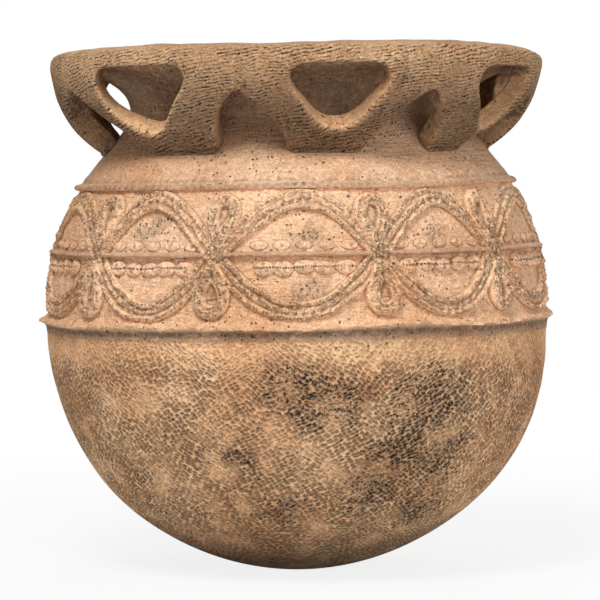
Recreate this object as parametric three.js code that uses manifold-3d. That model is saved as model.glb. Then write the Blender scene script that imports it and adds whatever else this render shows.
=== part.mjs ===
// A hand-built clay pot: a round bowl, a shoulder with applied cord ornament, a pinched neck,
// and a flared mouth whose lip is tied back to the neck by an openwork collar of straps.
// Millimetres, +Z up. The origin is the middle of the flattened foot, and the front faces -Y.
import * as THREE from "three";
import { mergeVertices } from "three/addons/utils/BufferGeometryUtils.js";
import Module from "manifold-3d";

const wasm = await Module();
wasm.setup();

const { degToRad, mapLinear } = THREE.MathUtils;
const { Vector2, Vector3, Matrix4, Shape } = THREE;

// Wall of the vessel: outside radii, the height of each course, and the thickness of the clay
const footRadius = 26;
const bowlRadius = 175.2;
const neckBaseRadius = 150.5;
const throatRadius = 115.2;
const flareTopRadius = 152.5;
const bowlHeight = 172;
const shoulderHeight = 97.5;
const neckHeight = 49.5;
const flareHeight = 32;
const wallThickness = 10;

// The shoulder closes in slowly: this share of it is done at the middle fillet
const shoulderEarlyShare = 0.312;

// The neck and the flare are curves that leave their ends along these lengths and leans
const neckLean = degToRad(18);
const neckReach = 12;
const flareLean = degToRad(60);
const flareReach = 15.5;
const throatReach = 10;
const flareStartReach = 16;

// Lip: a thick coil that crowns the flare and overhangs it
const lipHeight = 11.7;
const lipOverhang = 19.3;
const lipCrownInset = 19;
const lipOuterRound = 9;
const lipInnerRound = 6;

// Fillets: coils laid round the wall, with how high they start and how far they stand out
const flangeRise = 3.5;
const flangeBelow = 5.5;
const flangeAbove = 6;
const flangeStandOut = 5;
const midFilletRise = 52.5;
const midFilletHalfHeight = 3.2;
const midFilletStandOut = 5.5;
const upperFilletHalfHeight = 3.2;
const upperFilletStandOut = 5;

// Openwork collar: V-shaped straps from the lip to the neck, pierced and arched between. They are
// spaced by eye, so each has its own angle from the front.
const strapAngles = [8.5, 57, 103, 150, 197, 263, 323].map((degrees) => degToRad(degrees));
const strapThickness = 15;
const strapBow = 7.5;
const strapFootRise = 23.5;
const strapFootStandOut = 4;
const strapFootHeight = 15;
const holeTopWidth = 60;
const holeBottomWidth = 24;
const holeHeight = 32;
const holeRound = 9;
const holeTopBridge = 4;
const archHeight = 39.5;
const archApexRound = 16;
const archFootWidth = 70;

// Cord ovals: bands of laid cords, one oval in each bay between two crossings
const bayCount = 10;
const frontBayAngle = degToRad(37);
const flankBayAngle = degToRad(32.5);
const crossingLean = degToRad(52);
const cordBandWidth = 17;
const cordBandHeight = 5.2;
const cordGroove = 1.8;
const upperArcRise = 35;
const lowerArcDrop = 38;
const arcFullness = 0.4;

// Loops: folded cords that fill the crotch above and below each crossing
const loopWidth = 22;
const loopHeight = 6;
const loopRound = 2;
const loopSlitWidth = 4;
const loopSlitLength = 12;
const loopTipRise = 9;
const loopFilletGap = 0.5;

// Pellets: a row of pressed balls under the middle fillet
const pelletLength = 16;
const pelletHeight = 11;
const pelletStandOut = 5;
const pelletOverlap = 1.2;

// Clearance that every piece keeps from the one it sits on
const seatGap = 0.3;

// Fineness of the facets
const ringSegments = 40;
const collarSegments = 48;
const bowlRows = 7;
const shoulderRows = 3;
const curveRows = 4;
const roundSegments = 2;
const cordSteps = 6;
const pelletFacets = 6;
const weld = 1e-4;

// Heights and radii that follow
const bowlRimZ = bowlHeight;
const upperFilletZ = bowlRimZ + shoulderHeight;
const throatZ = upperFilletZ + neckHeight;
const lipBottomZ = throatZ + flareHeight;
const flangeZ = bowlRimZ + flangeRise;
const midFilletZ = bowlRimZ + midFilletRise;
const strapFootZ = upperFilletZ + strapFootRise;
const shoulderMidRadius = bowlRadius - (bowlRadius - neckBaseRadius) * shoulderEarlyShare;
const lipRadius = flareTopRadius + lipOverhang;
const lipTopZ = lipBottomZ + seatGap + lipHeight;

// Solids

function solidOf(geometry) {
  const bare = geometry.index ? geometry.toNonIndexed() : geometry.clone();
  bare.deleteAttribute("normal");
  bare.deleteAttribute("uv");
  const merged = mergeVertices(bare, weld);
  const corners = merged.index.array;
  const kept = [];
  for (let i = 0; i < corners.length; i += 3) {
    const [a, b, c] = corners.subarray(i, i + 3);
    if (a !== b && b !== c && a !== c) kept.push(a, b, c);
  }
  const vertProperties = merged.attributes.position.array;
  const triVerts = new Uint32Array(kept);
  return new wasm.Manifold(new wasm.Mesh({ numProp: 3, vertProperties, triVerts }));
}

function geometryOf(solid) {
  const { vertProperties, numProp, numVert, triVerts } = solid.getMesh();
  const positions = new Float32Array(numVert * 3);
  for (let i = 0; i < numVert; i++) {
    positions.set(vertProperties.subarray(i * numProp, i * numProp + 3), i * 3);
  }
  const geometry = new THREE.BufferGeometry();
  geometry.setAttribute("position", new THREE.BufferAttribute(positions, 3));
  geometry.setIndex(new THREE.BufferAttribute(triVerts, 1));
  geometry.computeVertexNormals();
  return geometry;
}

const without = (solid, others) => others.reduce((left, other) => left.subtract(other), solid);

// A closed profile of (radius, height) points, anticlockwise, turned about the pot's axis.
function turned(profile, segments = ringSegments) {
  const closed = [...profile, profile[0]];
  return new THREE.LatheGeometry(closed, segments).rotateX(Math.PI / 2);
}

// Outline of the wall, from the foot up to the lip

function bowlOutline() {
  const footTurn = Math.acos(footRadius / bowlRadius);
  const depth = bowlRimZ / Math.sin(footTurn);
  return Array.from({ length: bowlRows + 1 }, (_, i) => {
    const turn = footTurn * (1 - i / bowlRows);
    return new Vector2(bowlRadius * Math.cos(turn), bowlRimZ - depth * Math.sin(turn));
  });
}

function shoulderOutline() {
  const rim = new Vector2(bowlRadius, bowlRimZ);
  const middle = new Vector2(shoulderMidRadius, midFilletZ);
  const top = new Vector2(neckBaseRadius, upperFilletZ);
  const pull = middle.multiplyScalar(2).sub(rim.clone().add(top).divideScalar(2));
  return new THREE.QuadraticBezierCurve(rim, pull, top).getPoints(shoulderRows).slice(1);
}

function neckOutline() {
  const base = new Vector2(neckBaseRadius, upperFilletZ);
  const throat = new Vector2(throatRadius, throatZ);
  const leaving = new Vector2(-Math.sin(neckLean), Math.cos(neckLean)).multiplyScalar(neckReach);
  const arriving = new Vector2(0, -throatReach);
  const curve = new THREE.CubicBezierCurve(
    base, base.clone().add(leaving), throat.clone().add(arriving), throat);
  return curve.getPoints(curveRows).slice(1);
}

function flareOutline() {
  const throat = new Vector2(throatRadius, throatZ);
  const top = new Vector2(flareTopRadius, lipBottomZ);
  const leaving = new Vector2(0, flareStartReach);
  const arriving = new Vector2(-Math.sin(flareLean), -Math.cos(flareLean)).multiplyScalar(flareReach);
  const curve = new THREE.CubicBezierCurve(
    throat, throat.clone().add(leaving), top.clone().add(arriving), top);
  return curve.getPoints(curveRows).slice(1);
}

const outerWall = [...bowlOutline(), ...shoulderOutline(), ...neckOutline(), ...flareOutline()];

// The line at a distance inside another, each point moved along the mean of its two normals.
function movedInwards(line, distance) {
  return line.map((point, i) => {
    const before = line[Math.max(i - 1, 0)];
    const after = line[Math.min(i + 1, line.length - 1)];
    const along = after.clone().sub(before).normalize();
    return new Vector2(point.x - along.y * distance, point.y + along.x * distance);
  });
}

const innerWall = movedInwards(outerWall, wallThickness);

function radiusAt(line, z) {
  const above = line.findIndex((point) => point.y >= z);
  if (above < 0) return line[line.length - 1].x;
  if (above === 0) return line[0].x;
  const low = line[above - 1];
  const high = line[above];
  return mapLinear(z, low.y, high.y, low.x, high.x);
}

// The stretch of a line between two heights, with its ends worked out.
function stretch(line, lowZ, highZ) {
  const between = line.filter((point) => point.y > lowZ + weld && point.y < highZ - weld);
  return [
    new Vector2(radiusAt(line, lowZ), lowZ),
    ...between,
    new Vector2(radiusAt(line, highZ), highZ),
  ];
}

// One course of the wall: a ring of clay between two level joints.
function wallCourse(lowZ, highZ) {
  return turned([
    ...stretch(outerWall, lowZ, highZ),
    ...stretch(innerWall, lowZ, highZ).reverse(),
  ]);
}

function baseBowl() {
  const floorZ = innerWall[0].y;
  return turned([
    new Vector2(0, 0),
    ...stretch(outerWall, 0, bowlRimZ),
    ...stretch(innerWall, floorZ, bowlRimZ).reverse(),
    new Vector2(0, floorZ),
  ]);
}

// The wall with its clearance, filled to the axis, which cuts the back of what is pressed on it.
function grownWall(lowZ, highZ) {
  const face = stretch(outerWall, lowZ, highZ).map((p) => new Vector2(p.x + seatGap, p.y));
  return solidOf(turned([new Vector2(0, lowZ), ...face, new Vector2(0, highZ)]));
}

const grownShoulder = grownWall(bowlRimZ / 2, throatZ);
const grownNeck = grownWall(bowlRimZ, lipBottomZ);

// Lip

function lipRing() {
  const bottom = lipBottomZ + seatGap;
  const crownRadius = lipRadius - lipCrownInset;
  const outside = new Vector2(lipRadius, lipTopZ - lipOuterRound);
  const crown = new Vector2(crownRadius, lipTopZ);
  const inside = new Vector2(radiusAt(innerWall, lipBottomZ), bottom);
  const outerEdge = new THREE.QuadraticBezierCurve(outside, new Vector2(lipRadius, lipTopZ), crown);
  const innerEdge = new THREE.QuadraticBezierCurve(
    crown, new Vector2(crownRadius - lipInnerRound, lipTopZ), inside);
  return turned([
    new Vector2(lipRadius, bottom),
    ...outerEdge.getPoints(curveRows),
    ...innerEdge.getPoints(curveRows - 1).slice(1),
  ]);
}

// Fillets

// A coil pressed on the wall: its back follows the wall, and its face is a round hump.
function filletProfile(lowZ, crestZ, highZ, standOut, grow = 0) {
  const back = stretch(outerWall, lowZ - grow, highZ + grow);
  const seat = back.map((point) => new Vector2(point.x + seatGap - grow, point.y));
  const crest = new Vector2(radiusAt(outerWall, crestZ) + seatGap + standOut + grow, crestZ);
  const lowFace = new THREE.QuadraticBezierCurve(
    seat[0], new Vector2(crest.x, (lowZ + crestZ) / 2), crest);
  const highFace = new THREE.QuadraticBezierCurve(
    crest, new Vector2(crest.x, (crestZ + highZ) / 2), seat[seat.length - 1]);
  return [...lowFace.getPoints(2), ...highFace.getPoints(2).slice(1), ...seat.slice(1, -1).reverse()];
}

const filletSpan = (z, below, above, standOut) => [z - below, z, z + above, standOut];
const flangeSpan = filletSpan(flangeZ, flangeBelow, flangeAbove, flangeStandOut);
const midFilletSpan = filletSpan(
  midFilletZ, midFilletHalfHeight, midFilletHalfHeight, midFilletStandOut);
const upperFilletSpan = filletSpan(
  upperFilletZ, upperFilletHalfHeight, upperFilletHalfHeight, upperFilletStandOut);

const grownFlange = solidOf(turned(filletProfile(...flangeSpan, seatGap)));
const grownUpperFillet = solidOf(turned(filletProfile(...upperFilletSpan, seatGap)));

// Places round the pot

// Stands a flat piece, drawn in X and Y and thick along Z, upright at an angle from the front.
function stood(geometry, angle) {
  const across = new Vector3(Math.cos(angle), Math.sin(angle), 0);
  const outward = new Vector3(Math.sin(angle), -Math.cos(angle), 0);
  return geometry.applyMatrix4(new Matrix4().makeBasis(across, new Vector3(0, 0, 1), outward));
}

const bendRadius = shoulderMidRadius;

// Wraps a flat piece, drawn in X and Y and thick along Z, round the wall at an angle.
function wrapped(geometry, angle) {
  const place = geometry.attributes.position;
  for (let i = 0; i < place.count; i++) {
    const turn = angle + place.getX(i) / bendRadius;
    const z = place.getY(i);
    const radius = radiusAt(outerWall, z) + place.getZ(i);
    place.setXYZ(i, radius * Math.sin(turn), -radius * Math.cos(turn), z);
  }
  return geometry;
}

// A sector of the space round the axis, narrower by half a clearance on each side.
function sector(angle, span) {
  const reach = 2 * lipRadius;
  const half = span / 2;
  const inset = seatGap / 2 / Math.sin(half);
  const shape = new Shape();
  shape.moveTo(0, -inset);
  shape.lineTo(reach * Math.sin(half), -reach * Math.cos(half) - inset);
  shape.lineTo(-reach * Math.sin(half), -reach * Math.cos(half) - inset);
  const geometry = new THREE.ExtrudeGeometry(shape, { depth: lipTopZ, bevelEnabled: false });
  return solidOf(geometry.rotateZ(angle));
}

// Openwork collar

function collarRing() {
  const lipLevel = new Vector2(lipRadius, lipBottomZ);
  const foot = new Vector2(radiusAt(outerWall, strapFootZ) + strapFootStandOut, strapFootZ);
  const middle = lipLevel.clone().add(foot).multiplyScalar(0.5);
  const across = foot.clone().sub(lipLevel).normalize();
  const bowed = middle.add(new Vector2(-across.y, across.x).multiplyScalar(2 * strapBow));
  const face = new THREE.QuadraticBezierCurve(foot, bowed, lipLevel).getPoints(curveRows);
  const back = movedInwards(face, strapThickness).slice(2, -1);
  const heelZ = strapFootZ + strapFootHeight;
  const heelRadius = radiusAt(outerWall, heelZ) - wallThickness / 2;
  return turned([
    ...face,
    new Vector2(lipRadius - strapThickness, lipBottomZ),
    ...back.reverse(),
    new Vector2(heelRadius, heelZ),
    new Vector2(heelRadius, strapFootZ),
  ], collarSegments);
}

function rounded(points, rounds) {
  const shape = new Shape();
  points.forEach((corner, i) => {
    const before = points[(i + points.length - 1) % points.length];
    const after = points[(i + 1) % points.length];
    const arrive = before.clone().sub(corner).setLength(rounds[i]).add(corner);
    const leave = after.clone().sub(corner).setLength(rounds[i]).add(corner);
    if (i === 0) shape.moveTo(arrive.x, arrive.y);
    else shape.lineTo(arrive.x, arrive.y);
    shape.quadraticCurveTo(corner.x, corner.y, leave.x, leave.y);
  });
  return shape;
}

function radialCutter(shape, angle) {
  const geometry = new THREE.ExtrudeGeometry(shape, {
    depth: lipRadius, bevelEnabled: false, curveSegments: roundSegments });
  return solidOf(stood(geometry.translate(0, 0, throatRadius / 2), angle));
}

function strapHole(angle) {
  const top = lipBottomZ - holeTopBridge;
  const bottom = top - holeHeight;
  const corners = [
    new Vector2(-holeBottomWidth / 2, bottom),
    new Vector2(holeBottomWidth / 2, bottom),
    new Vector2(holeTopWidth / 2, top),
    new Vector2(-holeTopWidth / 2, top),
  ];
  return radialCutter(rounded(corners, corners.map(() => holeRound)), angle);
}

const strapCount = strapAngles.length;

// How far round it is from each strap to the next one.
const strapSteps = strapAngles.map((angle, i) =>
  (i + 1 < strapCount ? strapAngles[i + 1] : strapAngles[0] + 2 * Math.PI) - angle);

// A pointed arch, drawn as a triangle whose apex is rounded down to the arch's height. Straps that
// stand further apart have a wider and higher arch between them.
function strapArch(angle, step) {
  const room = (step * strapCount) / (2 * Math.PI);
  const height = archHeight * Math.sqrt(room);
  const slope = (archFootWidth * room) / 2 / height;
  const steepness = Math.cos(Math.atan(slope));
  const apexZ = strapFootZ + height + (archApexRound * steepness) / 2;
  const bottom = strapFootZ - strapThickness;
  const spread = slope * (apexZ - bottom);
  const corners = [
    new Vector2(0, apexZ),
    new Vector2(-spread, bottom),
    new Vector2(spread, bottom),
  ];
  return radialCutter(rounded(corners, [archApexRound, seatGap, seatGap]), angle);
}

const wholeCollar = solidOf(collarRing()).subtract(grownNeck);

// One strap, from the joint halfway to the strap before it to the joint halfway to the next one.
function rimStrap(index) {
  const angle = strapAngles[index];
  const stepBefore = strapSteps[(index + strapCount - 1) % strapCount];
  const stepAfter = strapSteps[index];
  const start = angle - stepBefore / 2;
  const end = angle + stepAfter / 2;
  return wholeCollar
    .intersect(sector((start + end) / 2, end - start))
    .subtract(strapHole(angle))
    .subtract(strapArch(start, stepBefore))
    .subtract(strapArch(end, stepAfter));
}

// Bays of the shoulder: the front bay is wider and its two neighbours are narrower than the rest

const otherBayAngle = (2 * Math.PI - frontBayAngle - 2 * flankBayAngle) / (bayCount - 3);

function baySpan(index) {
  if (index === 0) return frontBayAngle;
  return index === 1 || index === bayCount - 1 ? flankBayAngle : otherBayAngle;
}

// The angle of the crossing at the start of each bay.
const crossingAngles = Array.from({ length: bayCount }, (_, i) =>
  Array.from({ length: i }, (_, k) => baySpan(k)).reduce((sum, span) => sum + span, -frontBayAngle / 2));

const bayAngle = (index) => crossingAngles[index] + baySpan(index) / 2;

// Cord ovals

// Section of a band of three laid cords. X runs into the wall and Y across the band.
function cordSection() {
  const half = cordBandWidth / 2;
  const crest = -cordBandHeight;
  const groove = crest + cordGroove;
  const sunk = wallThickness / 4;
  const cord = (2 * half) / 3;
  const shape = new Shape();
  shape.moveTo(sunk, -half);
  shape.lineTo(sunk, half);
  shape.lineTo(crest, cord);
  shape.lineTo(groove, cord / 2);
  shape.lineTo(crest, 0);
  shape.lineTo(groove, -cord / 2);
  shape.lineTo(crest, -cord);
  return shape;
}

// Section of the room that a band takes from its neighbours, open to the front.
function cordRoomSection() {
  const half = cordBandWidth / 2 + seatGap;
  const shape = new Shape();
  shape.moveTo(wallThickness / 2, -half);
  shape.lineTo(wallThickness / 2, half);
  shape.lineTo(-3 * cordBandHeight, half);
  shape.lineTo(-3 * cordBandHeight, -half);
  return shape;
}

// One arc of a band, from crossing to crossing and on past them. A cubic's middle lies three
// quarters of the way from its ends to its handles.
function cordArc(index, rise, section) {
  const half = (baySpan(index) / 2) * bendRadius;
  const overrun = cordBandWidth / 2;
  const dip = overrun * Math.tan(crossingLean) * Math.sign(rise);
  const end = new Vector3(half + overrun, midFilletZ - dip, 0);
  const handle = new Vector3(half * arcFullness, (4 * (midFilletZ + rise) - end.y) / 3, 0);
  const path = new THREE.CubicBezierCurve3(
    end.clone().setX(-end.x), handle.clone().setX(-handle.x), handle, end);
  const geometry = new THREE.ExtrudeGeometry(section, {
    steps: cordSteps, bevelEnabled: false, extrudePath: path });
  return solidOf(wrapped(geometry, bayAngle(index)));
}

function ovalOf(index, section) {
  return cordArc(index, upperArcRise, section).add(cordArc(index, -lowerArcDrop, section));
}

// Loops

function loopShape(tipZ, endZ) {
  const towards = Math.sign(endZ - tipZ);
  const half = towards * loopWidth / 2;
  const roundZ = endZ - half;
  const shape = new Shape();
  shape.moveTo(0, tipZ);
  shape.quadraticCurveTo(half, (tipZ + roundZ) / 2, half, roundZ);
  shape.bezierCurveTo(half, endZ - half / 4, half / 2, endZ, 0, endZ);
  shape.bezierCurveTo(-half / 2, endZ, -half, endZ - half / 4, -half, roundZ);
  shape.quadraticCurveTo(-half, (tipZ + roundZ) / 2, 0, tipZ);
  const slit = new THREE.Path();
  const slitHalf = towards * loopSlitWidth / 2;
  slit.moveTo(0, roundZ - towards * (loopSlitLength - loopSlitWidth / 2));
  slit.lineTo(slitHalf, roundZ);
  slit.lineTo(0, roundZ + slitHalf);
  slit.lineTo(-slitHalf, roundZ);
  shape.holes.push(slit);
  return shape;
}

const upperLoopSpan = [
  midFilletZ + loopTipRise, upperFilletZ - upperFilletHalfHeight - loopFilletGap];
const lowerLoopSpan = [midFilletZ - loopTipRise, flangeZ + flangeAbove + loopFilletGap];

function cordLoop(crossing, span) {
  const sunk = wallThickness / 4;
  const geometry = new THREE.ExtrudeGeometry(loopShape(...span), {
    depth: loopHeight + sunk - loopRound,
    curveSegments: roundSegments,
    bevelSegments: 1,
    bevelSize: loopRound,
    bevelOffset: -loopRound,
    bevelThickness: loopRound });
  const loop = solidOf(wrapped(geometry.translate(0, 0, -sunk), crossingAngles[crossing]));
  return without(loop, [grownShoulder, grownFlange, grownUpperFillet]);
}

// The room that the loops of a crossing take from the bands, open to the front.
function loopRoom(crossing, span) {
  const shape = loopShape(...span);
  shape.holes = [];
  const geometry = new THREE.ExtrudeGeometry(shape, {
    depth: 2 * wallThickness + cordBandHeight,
    curveSegments: roundSegments,
    bevelSegments: 1,
    bevelSize: seatGap,
    bevelThickness: seatGap });
  return solidOf(wrapped(geometry.translate(0, 0, -wallThickness), crossingAngles[crossing]));
}

function cordOval(index) {
  const own = sector(bayAngle(index), baySpan(index));
  const rooms = [index, (index + 1) % bayCount].flatMap((crossing) =>
    [upperLoopSpan, lowerLoopSpan].map((span) => loopRoom(crossing, span)));
  const band = ovalOf(index, cordSection()).intersect(own);
  return without(band, [grownShoulder, grownFlange, grownUpperFillet, ...rooms]);
}

const ovalRooms = Array.from({ length: bayCount }, (_, i) => ovalOf(i, cordRoomSection()));

// Bead fillets: the coil across each bay, with its pellets

const midCoil = solidOf(turned(filletProfile(...midFilletSpan)));

function pellets(index) {
  const z = midFilletZ - midFilletHalfHeight - pelletHeight / 2 + pelletOverlap;
  const pitch = pelletLength - pelletOverlap;
  const free = baySpan(index) * bendRadius - 2 * cordBandWidth;
  const count = Math.floor((free + pelletOverlap) / pitch);
  const ball = new THREE.SphereGeometry(1, pelletFacets, 4).rotateX(Math.PI / 2);
  const row = Array.from({ length: count }, (_, i) => {
    const place = (i - (count - 1) / 2) * pitch;
    const pellet = ball.clone().scale(pelletLength / 2, pelletHeight / 2, pelletStandOut);
    return solidOf(wrapped(pellet.translate(place, z, 0), bayAngle(index)));
  });
  return row.reduce((joined, pellet) => joined.add(pellet));
}

function beadFillet(index) {
  const coil = midCoil.intersect(sector(bayAngle(index), baySpan(index)));
  return without(coil.add(pellets(index)), [grownShoulder, ovalRooms[index]]);
}

// Assembly

const clay = (color, roughness) => new THREE.MeshStandardMaterial({ color, roughness, metalness: 0 });
const bowlClay = clay(0xc6966e, 0.92);
const bandClay = clay(0xd8ac87, 0.9);
const rimClay = clay(0x9a7656, 0.88);

const pot = new THREE.Group();

function place(name, geometry, material) {
  const mesh = new THREE.Mesh(geometry, material);
  mesh.name = name;
  pot.add(mesh);
}

const numbered = (name, index) => `${name}_${String(index + 1).padStart(2, "0")}`;

place("base_bowl", baseBowl(), bowlClay);
place("shoulder_wall", wallCourse(bowlRimZ + seatGap, upperFilletZ), bandClay);
place("neck_wall", wallCourse(upperFilletZ + seatGap, throatZ), bandClay);
place("mouth_flare", wallCourse(throatZ + seatGap, lipBottomZ), rimClay);
place("lip_ring", lipRing(), rimClay);
place("lower_flange", turned(filletProfile(...flangeSpan)), bandClay);
place("upper_fillet", turned(filletProfile(...upperFilletSpan)), bandClay);

for (let i = 0; i < strapCount; i++) {
  place(numbered("rim_strap", i), geometryOf(rimStrap(i)), rimClay);
}

for (let i = 0; i < bayCount; i++) {
  place(numbered("cord_oval", i), geometryOf(cordOval(i)), bandClay);
  place(numbered("upper_loop", i), geometryOf(cordLoop(i, upperLoopSpan)), bandClay);
  place(numbered("lower_loop", i), geometryOf(cordLoop(i, lowerLoopSpan)), bandClay);
  place(numbered("bead_fillet", i), geometryOf(beadFillet(i)), bandClay);
}

export default pot;
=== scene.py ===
# %% [markdown]
# # A hand-built clay pot
#
# The pot has a round bowl rolled all over with a cord roller, a shoulder with applied cords, folded loops
# and pellets, a pinched neck, and an openwork collar of straps under a thick lip.
# The frame gives the place and size of every piece, and this lesson gives each piece its skin.
# Everything is in metres, +Z is up, and the front of the pot faces -Y.

# %% Load the frame
import math

import bmesh
import bpy
import numpy as np
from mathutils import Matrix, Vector, geometry, kdtree


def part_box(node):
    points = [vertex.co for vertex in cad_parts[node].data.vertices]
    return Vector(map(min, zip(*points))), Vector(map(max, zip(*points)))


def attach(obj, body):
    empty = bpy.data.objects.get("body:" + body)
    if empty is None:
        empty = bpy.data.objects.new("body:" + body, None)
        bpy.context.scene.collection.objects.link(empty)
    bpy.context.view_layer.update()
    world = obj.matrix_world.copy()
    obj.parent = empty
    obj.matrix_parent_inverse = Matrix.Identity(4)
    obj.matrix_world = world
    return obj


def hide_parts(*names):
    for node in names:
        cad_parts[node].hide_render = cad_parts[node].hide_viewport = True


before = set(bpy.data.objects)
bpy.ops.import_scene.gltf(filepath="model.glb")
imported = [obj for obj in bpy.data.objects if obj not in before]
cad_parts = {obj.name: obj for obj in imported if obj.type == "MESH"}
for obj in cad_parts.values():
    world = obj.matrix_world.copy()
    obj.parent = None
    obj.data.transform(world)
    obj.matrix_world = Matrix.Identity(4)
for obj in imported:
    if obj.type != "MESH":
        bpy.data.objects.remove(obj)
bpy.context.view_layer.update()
scene = bpy.context.scene
MM = 0.001
print("nodes in the frame:", len(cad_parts))

# %% [markdown]
# ## The line of the wall
#
# A potter reads a pot as one line, from the foot up to the lip. The line here is an ellipse for the bowl and
# three soft curves for the shoulder, the neck and the flare. The ends of the curves are read from the
# frame, so the skin sits where the solids are; only the radius of the foot and of the throat are given. A
# piece that lies on the wall asks `wall_radius` where it is.

# %% Read the main sizes


def reach(node):
    """The radius and the top of a piece that goes round the axis."""
    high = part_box(node)[1]
    return high.x, high.z


bowl_radius, bowl_rim_z = reach("base_bowl")
neck_base_radius, throat_z = reach("neck_wall")
flare_top_radius, lip_bottom_z = reach("mouth_flare")
lip_radius, lip_top_z = reach("lip_ring")
neck_base_z = reach("shoulder_wall")[1]
strap_foot_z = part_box("rim_strap_01")[0].z

foot_radius = 26 * MM
throat_radius = 115.2 * MM
wall_thickness = 10 * MM
coil_half = 3.2 * MM
mid_fillet_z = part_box("bead_fillet_01")[1].z - coil_half
shoulder_early_share = 0.312
print("bowl radius", round(bowl_radius, 4), "lip top", round(lip_top_z, 4))

# %% Draw the line


def curve(start, leaving, arriving, end, count=24):
    """Points of (radius, height) along one cubic curve."""
    corners = [Vector((r, 0, z)) for r, z in (start, leaving, arriving, end)]
    return [(p.x, p.z) for p in geometry.interpolate_bezier(*corners, count)]


def lerp(a, b, share):
    return tuple(p + (q - p) * share for p, q in zip(a, b))


def bowl_line(rows, inset=0.0):
    """The bowl's ellipse from the foot, or from the axis for the inside, up to the rim."""
    foot_turn = math.acos(foot_radius / bowl_radius)
    depth = bowl_rim_z / math.sin(foot_turn)
    first = math.pi / 2 if inset else foot_turn
    turns = np.linspace(first, 0, rows + 1)
    return [((bowl_radius - inset) * math.cos(t), bowl_rim_z - (depth - inset) * math.sin(t)) for t in turns]


def shoulder_line():
    rim = (bowl_radius, bowl_rim_z)
    top = (neck_base_radius, neck_base_z)
    middle = (bowl_radius - (bowl_radius - neck_base_radius) * shoulder_early_share, mid_fillet_z)
    pull = tuple(2 * m - (a + b) / 2 for m, a, b in zip(middle, rim, top))
    return curve(rim, lerp(rim, pull, 2 / 3), lerp(top, pull, 2 / 3), top)


def neck_line():
    lean = math.radians(18)
    base = (neck_base_radius, neck_base_z)
    leaving = (base[0] - 12 * MM * math.sin(lean), base[1] + 12 * MM * math.cos(lean))
    return curve(base, leaving, (throat_radius, throat_z - 10 * MM), (throat_radius, throat_z))


def flare_line():
    lean = math.radians(66)
    top = (flare_top_radius, lip_bottom_z)
    arriving = (top[0] - 15.5 * MM * math.sin(lean), top[1] - 15.5 * MM * math.cos(lean))
    return curve((throat_radius, throat_z), (throat_radius, throat_z + 20 * MM), arriving, top)


outer_line = np.array(bowl_line(40) + shoulder_line()[1:] + neck_line()[1:] + flare_line()[1:])
along = np.gradient(outer_line, axis=0)
along /= np.linalg.norm(along, axis=1)[:, None]
inner_line = outer_line + wall_thickness * np.stack((-along[:, 1], along[:, 0]), axis=1)


def wall_radius(z):
    return np.interp(z, outer_line[:, 1], outer_line[:, 0])


def inner_radius(z):
    return np.interp(z, inner_line[:, 1], inner_line[:, 0])


print("throat radius", round(float(wall_radius(throat_z)), 4))
print("shoulder radius", round(float(wall_radius(mid_fillet_z)), 4))

# %% [markdown]
# ## The potter's hand
#
# Nothing on a hand-built pot is quite level or quite round. A Displace modifier on each piece would open gaps
# between them. Instead one warp, a function of place alone, is given to every piece after it is made, so
# pieces that touch stay together. It leans the ornament up to the right, as the real pot does, and adds slow
# swells and small lumps from sums of sine waves with seeded directions.

# %% Warp of the whole pot


def waves(places, wavelength, seed, count=16):
    """A smooth random height at each place, of about unit size, from waves in seeded directions."""
    rng = np.random.default_rng(seed)
    headings = rng.normal(size=(count, 3))
    headings /= np.linalg.norm(headings, axis=1)[:, None]
    lengths = wavelength * rng.uniform(0.7, 1.4, count)
    phases = rng.uniform(0, 2 * math.pi, count)
    crests = np.sin(places @ (headings / lengths[:, None]).T * 2 * math.pi + phases)
    return crests.sum(axis=1) / math.sqrt(count)


lean_heights = np.array([0, 0.16, 0.176, 0.224, 0.27, 0.3, 0.345, 0.363])
lean_slopes = np.array([0, 0.006, 0.016, 0.014, 0.018, 0.014, 0.007, 0.005])
belly_z = 88 * MM
low_belly_z = 50 * MM


def by_hand(places):
    """The places after the potter's hand has moved them a little."""
    moved = places.copy()
    radius = np.maximum(np.hypot(places[:, 0], places[:, 1]), 1e-6)
    outwards = places * np.array([1, 1, 0]) / radius[:, None]
    full = np.clip(places[:, 2] / bowl_rim_z, 0, 1)
    swell = 0.9 * waves(places, 0.22, 3) + 0.45 * waves(places, 0.055, 4) + 0.16 * waves(places, 0.018, 5)
    belly = np.exp(-((places[:, 2] - belly_z) / (48 * MM)) ** 2) * np.clip(outwards[:, 0], 0, 1) ** 2
    low_belly = np.exp(-((places[:, 2] - low_belly_z) / (30 * MM)) ** 2)
    moved += outwards * (swell * full + 3.2 * belly + 1.7 * low_belly)[:, None] * MM
    tilt = np.interp(places[:, 2], lean_heights, lean_slopes) * places[:, 0]
    sag = 0.7 * MM * waves(places, 0.16, 6) * full
    moved[:, 2] += tilt + sag
    return moved


rim_right = np.array([[bowl_radius, 0.0, bowl_rim_z]])
print("the hand moves the right of the rim by", np.round(by_hand(rim_right) - rim_right, 4)[0])

# %% [markdown]
# ## Clay
#
# Low-fired clay is matt, pitted where chaff burnt out, pale where it is rubbed and sooty in its hollows. An
# image would have to be unwrapped onto every piece, while nodes need only a place, so the clay is all nodes.
# The finishes share four node groups: one unrolls the round wall into a flat field, one presses roller dents
# into such a field, one scatters burnt-out pits, and one mixes the clay's colours from slow and fine noise,
# with painted shade in the hollows and painted highlight on the crests.

# %% Small helpers for nodes


def put(tree, kind, inputs=None, **options):
    """Add a node, set its options, and set or link each input that is named or numbered."""
    made = tree.nodes.new("ShaderNode" + kind)
    for option, value in options.items():
        setattr(made, option, value)
    for socket, value in (inputs or {}).items():
        if isinstance(value, bpy.types.NodeSocket):
            tree.links.new(value, made.inputs[socket])
        else:
            made.inputs[socket].default_value = value
    return made


def calc(tree, operation, *values):
    return put(tree, "Math", dict(enumerate(values)), operation=operation).outputs[0]


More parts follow.
